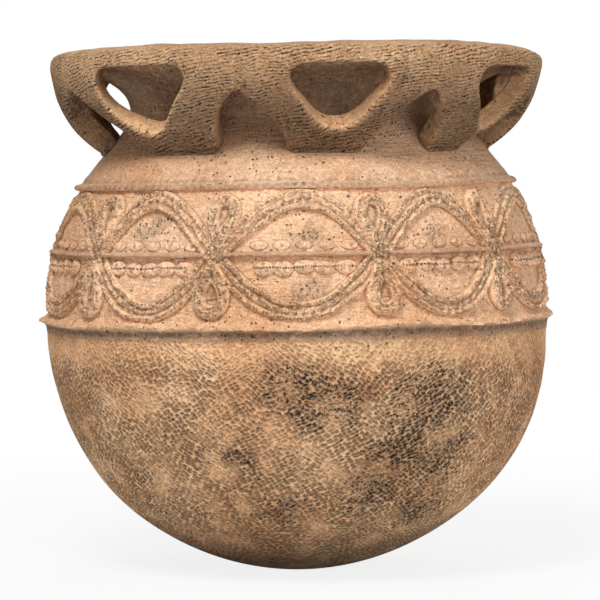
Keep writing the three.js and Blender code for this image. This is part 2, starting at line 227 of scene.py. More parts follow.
def vector_calc(tree, operation, *values):
    return put(tree, "VectorMath", dict(enumerate(values)), operation=operation).outputs[0]


def between(tree, value, low, high, first=0.0, last=1.0):
    """A smooth step of the value, from first at low to last at high."""
    sockets = {"Value": value, "From Min": low, "From Max": high, "To Min": first, "To Max": last}
    return put(tree, "MapRange", sockets, interpolation_type="SMOOTHSTEP").outputs[0]


def mixed(tree, share, first, second, blend="MIX"):
    sockets = {0: share, 6: first, 7: second}
    return put(tree, "Mix", sockets, data_type="RGBA", blend_type=blend).outputs[2]


def fog(tree, place, scale, detail=3.0, roughness=0.55):
    sockets = {"Vector": place, "Scale": scale, "Detail": detail, "Roughness": roughness}
    return put(tree, "TexNoise", sockets).outputs["Fac"]


# %% Helpers for places, groups and colours


def split(tree, vector):
    return put(tree, "SeparateXYZ", {0: vector}).outputs


def strayed(tree, place, scale, detail, amount):
    """The place, moved a little in random directions that change smoothly."""
    stray = put(tree, "TexNoise", {"Vector": place, "Scale": scale, "Detail": detail}).outputs["Color"]
    stray = vector_calc(tree, "SUBTRACT", stray, (0.5, 0.5, 0.5))
    return vector_calc(tree, "ADD", place, vector_calc(tree, "MULTIPLY", stray, amount))


def new_group(name, inputs, outputs):
    """An empty node group, with its inside ends: the sockets to read and the sockets to feed."""
    tree = bpy.data.node_groups.new(name, "ShaderNodeTree")
    for label, kind in inputs:
        tree.interface.new_socket(label, in_out="INPUT", socket_type="NodeSocket" + kind)
    for label, kind in outputs:
        tree.interface.new_socket(label, in_out="OUTPUT", socket_type="NodeSocket" + kind)
    return tree, tree.nodes.new("NodeGroupInput").outputs, tree.nodes.new("NodeGroupOutput").inputs


def colour(red, green, blue):
    """A colour as a screen shows it, 0 to 255, in the linear values that shaders take."""
    return tuple(((c / 255 + 0.055) / 1.055) ** 2.4 for c in (red, green, blue)) + (1.0,)


# %% Group that unrolls the wall
patch_shift = 0.377


def unrolled_group():
    """Place on a round wall as (way round, way up), in metres, in patches as a roller is rolled.
    Each patch starts a shift further along, so that no two are marked alike."""
    tree, read, feed = new_group(
        "Unrolled wall",
        [("Place", "Vector"), ("Patch", "Float"), ("Drift", "Float")],
        [("Field", "Vector")])
    x, y, z = split(tree, read["Place"])
    turn = calc(tree, "ARCTAN2", x, calc(tree, "MULTIPLY", y, -1.0))
    radius = calc(tree, "SQRT", calc(tree, "ADD", calc(tree, "MULTIPLY", x, x), calc(tree, "MULTIPLY", y, y)))
    drop = calc(tree, "MAXIMUM", calc(tree, "SUBTRACT", bowl_rim_z, z), 0.0)
    rise = calc(tree, "MAXIMUM", calc(tree, "SUBTRACT", z, bowl_rim_z), 0.0)
    slope = calc(tree, "MULTIPLY", calc(tree, "ARCTAN2", drop, radius), -bowl_radius)
    height = calc(tree, "ADD", slope, rise)
    swing = calc(tree, "SUBTRACT", fog(tree, read["Place"], 14.0), 0.5)
    ragged = calc(tree, "MULTIPLY", swing, read["Drift"])
    number = calc(tree, "ROUND", calc(tree, "DIVIDE", calc(tree, "ADD", turn, ragged), read["Patch"]))
    round_way = calc(tree, "SUBTRACT", turn, calc(tree, "MULTIPLY", number, read["Patch"]))
    across = calc(tree, "MULTIPLY", round_way, radius)
    shift = calc(tree, "MULTIPLY", number, patch_shift)
    field = put(tree, "CombineXYZ", {0: calc(tree, "ADD", across, shift), 1: height, 2: 0.0}).outputs[0]
    tree.links.new(field, feed["Field"])
    return tree


unrolled = unrolled_group()

# %% Group that presses roller dents


def roller_group():
    """Dents of a cord roller over a flat field: 1 at the bottom of a dent, with a random number for each.
    A dent is deeper towards its upper side, as if pressed in from below."""
    tree, read, feed = new_group(
        "Roller dents",
        [("Field", "Vector"), ("Length", "Float"), ("Width", "Float"), ("Lean", "Float"),
         ("Scatter", "Float"), ("Size", "Float")],
        [("Dent", "Float"), ("Chance", "Float")])
    bent = strayed(tree, read["Field"], 55.0, 2.0, (0.007, 0.007, 0.0))
    leaning = {"Vector": bent, "Angle": read["Lean"]}
    turned = put(tree, "VectorRotate", leaning, rotation_type="Z_AXIS").outputs[0]
    size = put(tree, "CombineXYZ", {0: read["Length"], 1: read["Width"], 2: 1.0}).outputs[0]
    scaled = vector_calc(tree, "DIVIDE", turned, size)
    cells = put(
        tree, "TexVoronoi", {"Vector": scaled, "Scale": 1.0, "Randomness": read["Scatter"]},
        voronoi_dimensions="2D")
    chance = put(tree, "SeparateColor", {0: cells.outputs["Color"]}).outputs
    edge = calc(tree, "MULTIPLY", read["Size"], calc(tree, "MULTIPLY_ADD", chance[1], 0.4, 0.8))
    dent = between(tree, cells.outputs["Distance"], 0.0, edge, 1.0, 0.0)
    off_middle = vector_calc(tree, "SUBTRACT", scaled, cells.outputs["Position"])
    upper_side = split(tree, off_middle)[1]
    steep = calc(tree, "MULTIPLY_ADD", upper_side, 0.9, 1.0)
    tree.links.new(calc(tree, "MULTIPLY", dent, steep), feed["Dent"])
    tree.links.new(chance[0], feed["Chance"])
    return tree


roller = roller_group()

# %% Group that scatters pits


def pits_group():
    """Round pits where chaff burnt out of the clay: 1 in a pit. Amount is the share of cells with one."""
    tree, read, feed = new_group(
        "Burnt-out pits",
        [("Place", "Vector"), ("Spacing", "Float"), ("Amount", "Float")],
        [("Pit", "Float")])
    scale = calc(tree, "DIVIDE", 1.0, read["Spacing"])
    cells = put(tree, "TexVoronoi", {"Vector": read["Place"], "Scale": scale})
    chance = put(tree, "SeparateColor", {0: cells.outputs["Color"]}).outputs
    size = calc(tree, "MULTIPLY_ADD", chance[1], 0.18, 0.14)
    hole = between(tree, cells.outputs["Distance"], 0.0, size, 1.0, 0.0)
    chosen = calc(tree, "LESS_THAN", chance[0], read["Amount"])
    tree.links.new(calc(tree, "MULTIPLY", hole, chosen), feed["Pit"])
    return tree


pits = pits_group()

# %% Group that colours fired clay


def fired_clay_group():
    """Colour, fine height and roughness of low-fired clay.
    Hollow is above 0 in hollows and below 0 on crests; the clay is darkened in hollows as painted shade and
    lightened on crests as painted highlight. The input after Rust darkens towards a dull brown: it is soot
    and dirt in some places and painted shade in others."""
    tree, read, feed = new_group(
        "Fired clay",
        [("Place", "Vector"), ("Pale", "Color"), ("Deep", "Color"), ("Rust", "Float"), ("Dirt and shade", "Float"),
         ("Hollow", "Float"), ("Soot", "Float")],
        [("Colour", "Color"), ("Grain", "Float"), ("Roughness", "Float")])
    slow = between(tree, fog(tree, read["Place"], 16.0, 4.0, 0.6), 0.32, 0.68)
    fine = fog(tree, read["Place"], 700.0, 2.0, 0.6)
    speck = fog(tree, read["Place"], 240.0, 3.0, 0.65)
    body = mixed(tree, slow, read["Deep"], read["Pale"])
    rust_patch = between(tree, fog(tree, read["Place"], 27.0, 3.0), 0.55, 0.72)
    rust_patch = calc(tree, "MAXIMUM", rust_patch, between(tree, read["Rust"], 0.4, 0.9))
    body = mixed(tree, calc(tree, "MULTIPLY", rust_patch, read["Rust"]), body, colour(222, 154, 106))
    # Dirt and painted shade both darken the clay towards this dull brown.
    dirt_and_shade_share = calc(tree, "MULTIPLY", read["Dirt and shade"], between(tree, speck, 0.3, 0.6, 0.5, 1.0))
    body = mixed(tree, dirt_and_shade_share, body, colour(92, 76, 61))
    body = mixed(tree, read["Soot"], body, colour(42, 36, 31))
    grain = between(tree, fine, 0.25, 0.75, 0.72, 1.22)
    blotch = between(tree, speck, 0.3, 0.7, 0.84, 1.12)
    # Painted shade and painted highlight: hollows are darkened and crests lightened in the colour, over
    # random grain.
    shade = calc(tree, "MULTIPLY_ADD", read["Hollow"], -0.5, 1.04)
    shade = calc(tree, "MULTIPLY", shade, calc(tree, "MULTIPLY", grain, blotch))
    body = mixed(tree, 1.0, body, shade, "MULTIPLY")
    tree.links.new(body, feed["Colour"])
    tree.links.new(calc(tree, "MULTIPLY_ADD", speck, 0.5, calc(tree, "MULTIPLY", fine, 0.35)), feed["Grain"])
    tree.links.new(between(tree, slow, 0.0, 1.0, 0.95, 0.82), feed["Roughness"])
    return tree


fired_clay = fired_clay_group()
print("groups:", [group.name for group in bpy.data.node_groups])

# %% [markdown]
# ## Finishes
#
# Each finish is the same clay with its own marks. Rolled clay has dents all over, rubbed clay has only worn
# rows of dots left, and laid cords carry their dents along the cord. Three attributes of a piece steer them:
# `lay` holds the way along, the way across and how deeply the clay is marked there, `crease` is above 0 in
# hollows, which it darkens as painted shade, and below 0 on crests, which it lightens as painted highlight,
# and the third darkens the clay: it is soot on the lip's crown and dirt on handled crests, and painted shade
# at seats, under the flange, in the holes and under the arches of the collar, on the neck under the collar
# and towards the bowl's foot.

# %% Spots of soot and rust


def spot(angle, height, size, out=None):
    """The middle and size of a stain at an angle from the front and a height, on the wall or further out."""
    turn = math.radians(angle)
    radius = float(wall_radius(height * MM)) if out is None else out * MM
    return (radius * math.sin(turn), -radius * math.cos(turn), height * MM), size * MM


bowl_soot = [spot(2, 134, 30), spot(12, 128, 22), spot(31, 127, 38), spot(27, 103, 30), spot(36, 88, 30),
             spot(40, 52, 26), spot(20, 70, 26), spot(-12, 91, 15), spot(-5, 52, 18), spot(160, 120, 60),
             spot(-140, 70, 55)]
bowl_rust = [spot(18, 139, 15), spot(17.5, 124, 9), spot(-24, 150, 9), spot(58, 150, 12), spot(120, 140, 30)]
band_soot = [spot(1, 238, 12), spot(-36, 243, 13), spot(2, 200, 12), spot(33, 238, 12), spot(18.4, 226, 8),
             spot(150, 230, 30)]
collar_soot = [spot(-31, 297, 20, 137), spot(-3, 308, 17, 149), spot(7, 296, 20, 136), spot(28, 317, 20, 154),
               spot(22, 345, 12, 173), spot(46, 305, 20, 146), spot(-13, 333, 14, 166),
               spot(-27, 346, 12, 173), spot(-70, 320, 26, 157), spot(150, 315, 40, 152)]
band_rust = [spot(-6, 176, 9), spot(0, 175, 7), spot(-38, 232, 8), spot(40, 176, 8), spot(-150, 180, 14)]


def stained(tree, place, spots):
    """The largest of several soft round stains with ragged edges."""
    ragged = strayed(tree, place, 38.0, 4.0, (0.05, 0.05, 0.05))
    total = 0.0
    for middle, size in spots:
        away = put(tree, "VectorMath", {0: ragged, 1: middle}, operation="DISTANCE").outputs["Value"]
        total = calc(tree, "MAXIMUM", total, between(tree, away, size * 0.4, size * 1.15, 1.0, 0.0))
    return total


print("stains on the bowl:", len(bowl_soot), "of soot and", len(bowl_rust), "of rust")

# %% Make a finish


def attribute(tree, name):
    return put(tree, "Attribute", attribute_name=name, attribute_type="GEOMETRY").outputs


pit_spacing = 4.2 * MM
bump_reach = 4.2 * MM


def clay_finish(name, pale, deep, marks, depth, dent_shade=0.6, soot=(), soot_amount=0.8, rust=0.3,
                rust_spots=(), pit_amount=0.1, dark_marks=0.0, dark_from=(0.4, 0.8), smudge=0.15):
    """A clay material. marks is a function that builds the nodes of its dents and their random numbers.
    The argument after depth darkens every dent in colour as painted shade.
    dark_marks is the share of the dents that are full of soot also where there is no stain, dark_from says
    how deep such a dent is where the soot starts and is full, and smudge is the soot between the dents."""
    material = bpy.data.materials.new(name)
    material.use_nodes = True
    tree = material.node_tree
    tree.nodes.clear()
    place = put(tree, "TexCoord").outputs["Object"]
    dent, chance = marks(tree, place)
    pit_sockets = {"Place": place, "Spacing": pit_spacing, "Amount": pit_amount}
    pit = put(tree, "Group", pit_sockets, node_tree=pits).outputs["Pit"]
    stain = calc(tree, "MULTIPLY", stained(tree, place, soot), soot_amount) if soot else 0.0
    sooty = calc(tree, "LESS_THAN", chance, calc(tree, "MAXIMUM", stain, dark_marks))
    filled = calc(tree, "MULTIPLY", between(tree, dent, *dark_from), sooty)
    ragged = fog(tree, place, 420.0, 3.0, 0.7)
    broken = between(tree, ragged, 0.42, 0.56, 0.15, 0.95)
    flecks = calc(tree, "MULTIPLY_ADD", between(tree, ragged, 0.53, 0.61), 0.8, smudge)
    blackened = calc(tree, "MULTIPLY_ADD", filled, broken, calc(tree, "MULTIPLY", stain, flecks))
    blackened = calc(tree, "MAXIMUM", blackened, calc(tree, "MULTIPLY", pit, 0.6))
    blackened = calc(tree, "MINIMUM", blackened, 0.95)
    reddened = rust
    if rust_spots:
        reddened = calc(tree, "MAXIMUM", rust, calc(tree, "MULTIPLY", stained(tree, place, rust_spots), 0.75))
    # Painted shade in the dents and hollows and painted highlight on crests, from the dents and the crease
    # attribute.
    crease = calc(tree, "MULTIPLY", attribute(tree, "crease")["Fac"], 0.85)
    hollow = calc(tree, "MULTIPLY_ADD", dent, dent_shade, crease)
    clay_sockets = {"Place": place, "Pale": colour(*pale), "Deep": colour(*deep), "Rust": reddened,
                    "Dirt and shade": attribute(tree, "dirt_and_shade")["Fac"], "Hollow": hollow, "Soot": blackened}
    clay = put(tree, "Group", clay_sockets, node_tree=fired_clay).outputs
    low = calc(tree, "MULTIPLY_ADD", dent, -depth, calc(tree, "MULTIPLY", pit, -0.9))
    height = calc(tree, "MULTIPLY_ADD", clay["Grain"], 0.7, low)
    bump = put(tree, "Bump", {"Height": height, "Strength": 1.0, "Distance": bump_reach}).outputs[0]
    surface = put(tree, "BsdfPrincipled", {"Base Color": clay["Colour"], "Roughness": clay["Roughness"],
                                           "Specular IOR Level": 0.25, "Normal": bump})
    put(tree, "OutputMaterial", {"Surface": surface.outputs[0]})
    return material


# %% [markdown]
# The bowl was rolled in patches, with the roller held at one lean and then at another. The band above it was
# rubbed until only some dots were left. Such marks could be sculpted, but each is about as small as a face of
# the wall, so they are pressed into the unrolled field as bump and colour.

# %% Marks on the wall


def wall_field(tree, place, patch):
    sockets = {"Place": place, "Patch": math.radians(patch), "Drift": 0.45}
    return put(tree, "Group", sockets, node_tree=unrolled).outputs["Field"]


def pressed(tree, field, length, width, lean, scatter, size):
    sockets = {"Field": field, "Length": length * MM, "Width": width * MM, "Lean": math.radians(lean),
               "Scatter": scatter, "Size": size}
    return put(tree, "Group", sockets, node_tree=roller).outputs


def swapped(tree, share, first, second):
    """first where the share is 1 and second where it is 0."""
    return calc(tree, "MULTIPLY_ADD", calc(tree, "SUBTRACT", first, second), share, second)


def rolled_marks(tree, place):
    """Two rollings of the bowl at different leans, each in its own patches, and rubbed under the flange.
    The inside of the bowl isn't rolled."""
    field = wall_field(tree, place, 40)
    rolled = split(tree, attribute(tree, "lay")["Vector"])[2]
    first = pressed(tree, field, 3.9, 2.6, 38, 0.5, 0.62)
    second = pressed(tree, field, 3.7, 2.6, -30, 0.5, 0.62)
    share = between(tree, fog(tree, field, 22.0, 2.0), 0.44, 0.56)
    dent = swapped(tree, share, first["Dent"], second["Dent"])
    chance = swapped(tree, share, first["Chance"], second["Chance"])
    worn = between(tree, fog(tree, field, 33.0, 3.0), 0.3, 0.6, 0.3, 1.0)
    up = split(tree, field)[1]
    rubbed = between(tree, up, -0.034, -0.012, 1.0, 0.35)
    kept = calc(tree, "MULTIPLY", rolled, calc(tree, "MULTIPLY", worn, rubbed))
    return calc(tree, "MULTIPLY", dent, kept), chance


def rubbed_marks(tree, place):
    """Rows of dots that rubbing has nearly wiped away, over the fine level streaks that wiping leaves."""
    field = wall_field(tree, place, 90)
    dots = pressed(tree, field, 2.6, 2.8, -3, 0.5, 0.3)
    patch = between(tree, fog(tree, field, 24.0, 3.0), 0.36, 0.7, 0.02, 0.2)
    kept = calc(tree, "LESS_THAN", dots["Chance"], patch)
    streaks = fog(tree, vector_calc(tree, "MULTIPLY", field, (0.12, 1.0, 1.0)), 380.0, 3.0, 0.65)
    wiped = calc(tree, "MULTIPLY", calc(tree, "SUBTRACT", streaks, 0.5), 0.7)
    return calc(tree, "MULTIPLY_ADD", dots["Dent"], kept, wiped), dots["Chance"]


# %% [markdown]
# The collar, the cords and the pellets were marked along their own length. A UV map could carry such marks,
# but fused pieces are hard to unwrap, so these finishes read the way along and across from `lay`.

# %% Marks that follow the piece


def flat_lay(tree):
    """The flat field of a piece's `lay`, and how deeply it is marked."""
    x, y, depth = split(tree, attribute(tree, "lay")["Vector"])
    return put(tree, "CombineXYZ", {0: x, 1: y, 2: 0.0}).outputs[0], depth


row_pitch = 2.2 * MM


def strap_marks(tree, place):
    """Wandering, broken rows that rise to the right over the face of the collar. Their mean depth is taken
    off, so that the clay doesn't step up where they fade."""
    field, depth = flat_lay(tree)
    x, y, _ = split(tree, field)
    wander = calc(tree, "MULTIPLY", fog(tree, field, 45.0, 2.0), 7 * MM)
    wander = calc(tree, "MULTIPLY_ADD", fog(tree, field, 320.0, 2.0), 2.2 * MM, wander)
    climb = calc(tree, "ADD", calc(tree, "MULTIPLY_ADD", x, -0.16, y), wander)
    rows = calc(tree, "SINE", calc(tree, "MULTIPLY", climb, 2 * math.pi / row_pitch))
    length_wise = vector_calc(tree, "MULTIPLY", field, (0.5, 1.0, 1.0))
    breaks = between(tree, fog(tree, length_wise, 460.0, 3.0, 0.7), 0.4, 0.54)
    grooves = calc(tree, "MULTIPLY", between(tree, rows, 0.0, 0.7), breaks)
    knots = pressed(tree, field, 2.2, 2.5, -9, 0.7, 0.62)["Dent"]
    grooves = calc(tree, "MULTIPLY", grooves, calc(tree, "MULTIPLY_ADD", knots, 1.0, 0.45))
    worn = between(tree, fog(tree, field, 60.0, 3.0), 0.36, 0.62, 0.3, 1.1)
    grooves = calc(tree, "MULTIPLY", calc(tree, "SUBTRACT", grooves, 0.18), worn)
    # This noise is bump and, through the darkening of the dents, dark and bright specks: painted shade and
    # painted highlight.
    coarse = calc(tree, "SUBTRACT", fog(tree, field, 430.0, 3.0, 0.75), 0.5)
    grooves = calc(tree, "MULTIPLY_ADD", coarse, 1.6, grooves)
    chance = between(tree, fog(tree, field, 130.0, 2.0), 0.32, 0.68)
    return calc(tree, "MULTIPLY", grooves, depth), chance


def cord_marks(tree, place):
    """The rough lumps of a rolled cord, with a row of deep dots along it in stretches."""
    field, depth = flat_lay(tree)
    lumps = pressed(tree, field, 2.6, 2.2, 14, 0.6, 0.62)
    worn = between(tree, fog(tree, place, 50.0, 2.0), 0.35, 0.6, 0.3, 0.75)
    dots = pressed(tree, field, 1.9, 3.0, 0, 0.2, 0.4)
    stretch = between(tree, fog(tree, place, 48.0, 2.0), 0.42, 0.62, 0.08, 0.75)
    dotted = calc(tree, "MULTIPLY", dots["Dent"], calc(tree, "LESS_THAN", dots["Chance"], stretch))
    both = calc(tree, "MAXIMUM", calc(tree, "MULTIPLY", lumps["Dent"], worn), dotted)
    coarse = calc(tree, "SUBTRACT", fog(tree, place, 480.0, 3.0, 0.7), 0.5)
    both = calc(tree, "MULTIPLY_ADD", coarse, 0.6, both)
    return calc(tree, "MULTIPLY", both, depth), dots["Chance"]


def bead_marks(tree, place):
    """One close row of dots along the pellets."""
    field, depth = flat_lay(tree)
    dots = pressed(tree, field, 1.7, 3.0, 0, 0.15, 0.45)
    return calc(tree, "MULTIPLY", dots["Dent"], depth), dots["Chance"]


# %% The finishes of this pot
bowl_clay = clay_finish(
    "rolled_bowl_clay", (254, 206, 158), (234, 178, 131), rolled_marks, 1.1, dent_shade=1.1, soot=bowl_soot,
    soot_amount=1.0, rust_spots=bowl_rust, dark_marks=0.08, smudge=0.3)
band_clay = clay_finish(
    "rubbed_band_clay", (250, 205, 166), (228, 178, 136), rubbed_marks, 0.8, dent_shade=0.8, soot=band_soot,
    soot_amount=0.55, rust_spots=band_rust, dark_marks=0.08, smudge=0.45)
cord_clay = clay_finish(
    "laid_cord_clay", (248, 204, 164), (226, 177, 135), cord_marks, 0.75, dent_shade=0.5, soot=band_soot,
    soot_amount=0.6, pit_amount=0.14, dark_marks=0.09, dark_from=(0.65, 0.95))
bead_clay = clay_finish(
    "pressed_bead_clay", (241, 198, 162), (216, 170, 133), bead_marks, 0.8, dent_shade=0.8, soot=band_soot,
    soot_amount=0.5, dark_marks=0.7, dark_from=(0.25, 0.6))
collar_clay = clay_finish(
    "rolled_collar_clay", (250, 203, 156), (212, 165, 122), strap_marks, 0.9, dent_shade=1.9,
    soot=collar_soot, soot_amount=0.65, rust=0.25, pit_amount=0.32, dark_marks=0.45, dark_from=(0.2, 0.5))
print("finishes:", [m.name for m in bpy.data.materials if m.name.endswith("_clay")])

# %% [markdown]
# ## From flat clay to a piece of the pot
#
# Every piece ends the same way: the mesh gets the potter's warp, smooth shading with sharp cut edges, its
# finish, and its place in the frame. `lay` is written first, while the piece still knows its flat shape.

# %% Hollows and crests


def coordinates(mesh):
    flat = np.empty(len(mesh.vertices) * 3, np.float32)
    mesh.vertices.foreach_get("co", flat)
    return flat.reshape(-1, 3).astype(float)


tight_bend = 140


def creases(mesh, places):
    """How hollow the skin is at each vertex: about 1 in a tight hollow and below 0 on a crest."""
    pairs = np.empty(len(mesh.edges) * 2, np.int32)
    mesh.edges.foreach_get("vertices", pairs)
    first, second = pairs.reshape(-1, 2).T
    normals = np.empty(len(places) * 3, np.float32)
    mesh.vertices.foreach_get("normal", normals)
    count = np.bincount(pairs, minlength=len(places))

    def around(values):
        total = np.bincount(first, values[second], len(places))
        total += np.bincount(second, values[first], len(places))
        return total / count

    middles = np.stack([around(places[:, axis]) for axis in range(3)], axis=1)
    hollow = ((middles - places) * normals.reshape(-1, 3)).sum(axis=1)
    for _ in range(2):
        hollow = (hollow + around(hollow)) / 2
    spacing = np.linalg.norm(places[first] - places[second], axis=1).mean()
    return np.clip(hollow / spacing ** 2 / tight_bend, -0.4, 1)


# %% Finish a piece


def note(mesh, name, kind, values):
    """Keep values on the vertices under a name that the finishes read."""
    field = "vector" if kind == "FLOAT_VECTOR" else "value"
    mesh.attributes.new(name, kind, "POINT").data.foreach_set(field, values.astype(np.float32).ravel())


def finish_piece(bm, name, nodes, finish, shape=None, lay=None, dirt_and_shade=None, hollows=1.0):
    """Turn a bmesh into a piece that stands for CAD nodes and rides on the pot.
    shape is a function that bends the flat piece, and hollows is how strongly its hollows are darkened as
    painted shade and its crests lightened as painted highlight. The darkening it is given is dirt in some
    places and painted shade in others."""
    mesh = bpy.data.meshes.new(name)
    bm.to_mesh(mesh)
    bm.free()
    if lay is not None:
        note(mesh, "lay", "FLOAT_VECTOR", lay)
    if dirt_and_shade is not None:
        note(mesh, "dirt_and_shade", "FLOAT", dirt_and_shade)
    places = coordinates(mesh)
    if shape is not None:
        places = shape(places)
    places = by_hand(places)
    mesh.vertices.foreach_set("co", places.astype(np.float32).ravel())
    mesh.update()
    note(mesh, "crease", "FLOAT", hollows * creases(mesh, places))
    mesh.shade_smooth()
    mesh.set_sharp_from_angle(angle=math.radians(55))
    piece = bpy.data.objects.new(name, mesh)
    scene.collection.objects.link(piece)
    mesh.materials.append(finish)
    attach(piece, "root")
    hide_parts(*nodes)
    return piece


def report(label, pieces):
    triangles = sum(len(polygon.vertices) - 2 for piece in pieces for polygon in piece.data.polygons)
    print(f"{label}: {len(pieces)} piece(s), {triangles} triangles")


# %% [markdown]
# ## The turned courses
#
# The bowl, the shoulder, the neck, the flare and the lip go all the way round. They could be lathed by a
# Screw modifier, but a bmesh spin of the closed outline gives plain faces with no modifier left on the piece.

# %% Spin an outline


def turned(outline, segments, closed=True):
    """Spin an outline of (radius, height) once round the axis, with its seam and poles merged."""
    bm = bmesh.new()
    points = [bm.verts.new((r, 0, z)) for r, z in outline]
    pairs = list(zip(points, points[1:]))
    if closed:
        pairs.append((points[-1], points[0]))
    edges = [bm.edges.new(pair) for pair in pairs]
    bmesh.ops.spin(
        bm, geom=points + edges, cent=(0, 0, 0), axis=(0, 0, 1), angle=2 * math.pi, steps=segments,
        use_merge=True, use_duplicate=False)
    bmesh.ops.remove_doubles(bm, verts=bm.verts, dist=0.01 * MM)
    bmesh.ops.recalc_face_normals(bm, faces=bm.faces)
    return bm


def course(low, high, rows, inner_rows):
    """Outline of one course of the wall between two heights."""
    outside = [(float(wall_radius(z)), z) for z in np.linspace(low, high, rows + 1)]
    inside = [(float(inner_radius(z)), z) for z in np.linspace(high, low, inner_rows + 1)]
    return outside + inside


# %% Bowl, shoulder, neck and flare


def flat_places(bm):
    return np.array([v.co for v in bm.verts])


def darker_above(bm, low, high, amount):
    """A darkening that grows from one height to another; the pot uses it for soot and for painted shade."""
    share = np.clip((flat_places(bm)[:, 2] - low) / (high - low), 0, 1)
    return amount * share * share * (3 - 2 * share)


def throat_shade(bm):
    """Painted shade that grows from the foot of the neck to the lip, where the collar shades the neck and the
    flare.
    """
    return darker_above(bm, neck_base_z - 8 * MM, lip_bottom_z, 0.82)


def outside_lay(bm):
    """The way out and up, marked on the outside only."""
    places = flat_places(bm)
    radius = np.hypot(places[:, 0], places[:, 1])
    outside = radius > wall_radius(places[:, 2]) - wall_thickness / 2
    return np.stack((radius, places[:, 2], outside), axis=1)


bowl_outline = [(0.0, 0.0)] + bowl_line(84) + bowl_line(26, wall_thickness)[::-1]
bowl_skin = turned(bowl_outline, 300, closed=False)
# Painted shade and dirt in a band under the flange, and painted shade that grows towards the foot.
bowl_dirt_and_shade = np.maximum(
    darker_above(bowl_skin, bowl_rim_z - 9 * MM, bowl_rim_z + 3 * MM, 0.6),
    darker_above(bowl_skin, 60 * MM, 2 * MM, 0.75))
bowl = finish_piece(
    bowl_skin, "rolled_bowl", ["base_bowl"], bowl_clay, lay=outside_lay(bowl_skin),
    dirt_and_shade=bowl_dirt_and_shade)
shoulder = finish_piece(
    turned(course(bowl_rim_z, neck_base_z, 40, 10), 300), "shoulder_course", ["shoulder_wall"],
    band_clay)
neck_skin = turned(course(neck_base_z, throat_z, 24, 8), 280)
neck = finish_piece(
    neck_skin, "neck_course", ["neck_wall"], band_clay, dirt_and_shade=throat_shade(neck_skin))
flare_skin = turned(course(throat_z, lip_bottom_z, 18, 8), 240)
flare = finish_piece(
    flare_skin, "flare_course", ["mouth_flare"], band_clay, dirt_and_shade=throat_shade(flare_skin))
report("turned courses", [bowl, shoulder, neck, flare])

# %% [markdown]
# ## The lip
#
# The lip is a thick coil that crowns the flare and reaches out over the collar. The straps run up over the
# foot of its face, so the two look like one rolled band of clay, and its crown dips towards the mouth. Its
# `lay` is the one that the straps use, so that the roller's rows run on from the straps over the lip.

# %% Lip
strap_radius = 165 * MM
lip_seam_z = lip_bottom_z + 2.5 * MM
crown_radius = lip_radius - 19 * MM
lip_foot = [(lip_radius - 1.5 * MM, lip_bottom_z), (lip_radius - 1.5 * MM, lip_seam_z - 1 * MM)]
lip_outside = curve(
    (lip_radius, lip_seam_z), (lip_radius, lip_top_z - 2 * MM), (lip_radius - 6 * MM, lip_top_z),
    (crown_radius, lip_top_z), 16)
lip_inside = curve(
    (crown_radius, lip_top_z), (crown_radius - 5 * MM, lip_top_z),
    (crown_radius - 8 * MM, lip_bottom_z + 5 * MM), (float(inner_radius(lip_bottom_z)), lip_bottom_z), 12)
crown_slumps = [(2.0, 0.8, 0.4), (-2.4, 1.55, 0.3)]


def dented_crown(places):
    """Dent the crown, and raise or sink it by a height in millimetres about each turn from the front."""
    crown = np.clip((places[:, 2] - lip_seam_z) / (lip_top_z - lip_seam_z), 0, 1) ** 2
    turn = np.arctan2(places[:, 0], -places[:, 1])
    slump = sum(height * np.exp(-((turn - at) / width) ** 2) for height, at, width in crown_slumps)
    places[:, 2] += crown * MM * (0.35 * waves(places, 0.09, 21) + 0.2 * waves(places, 0.02, 22) + slump)
    return places


def lip_lay(bm):
    """The way round and up, marked on the outer face and nowhere near the seam at the back."""
    places = flat_places(bm)
    turn = np.arctan2(places[:, 0], -places[:, 1])
    radius = np.hypot(places[:, 0], places[:, 1])
    marked = np.clip((radius - lip_radius + 5 * MM) / (3 * MM), 0, 1) * (np.abs(turn) < math.pi - 0.03)
    marked *= np.clip((lip_top_z - 1 * MM - places[:, 2]) / (5 * MM), 0, 1)
    return np.stack((turn * strap_radius, places[:, 2], marked), axis=1)


def lip_soot_and_shade(bm):
    """Soot on the crown, and painted shade inside, as dark as the painted shade on the flare below it."""
    places = flat_places(bm)
    inside = 0.8 * np.clip((crown_radius - np.hypot(places[:, 0], places[:, 1])) / (9 * MM), 0, 1)
    return np.maximum(darker_above(bm, lip_seam_z + 3 * MM, lip_top_z - 0.5 * MM, 0.6), inside)


lip_skin = turned(lip_foot + lip_outside + lip_inside[1:], 320)
lip = finish_piece(
    lip_skin, "lip_coil", ["lip_ring"], collar_clay, dented_crown, lip_lay(lip_skin),
    lip_soot_and_shade(lip_skin))
report("lip", [lip])

# %% [markdown]
# ## The flange
#
# Where the bowl meets the shoulder a coil is pinched out to a sharp, ragged flange: its top runs smoothly
# into the shoulder and its underside is cut back. It is spun as the courses are, and its edge is then worn by
# short waves that only act near the crest.

# %% Flange
flange_low, flange_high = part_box("lower_flange")
flange_radius = flange_high.x
flange_crest_z = flange_low.z + 7 * MM
flange_top_z = flange_high.z + 7 * MM
sunk = 2 * MM

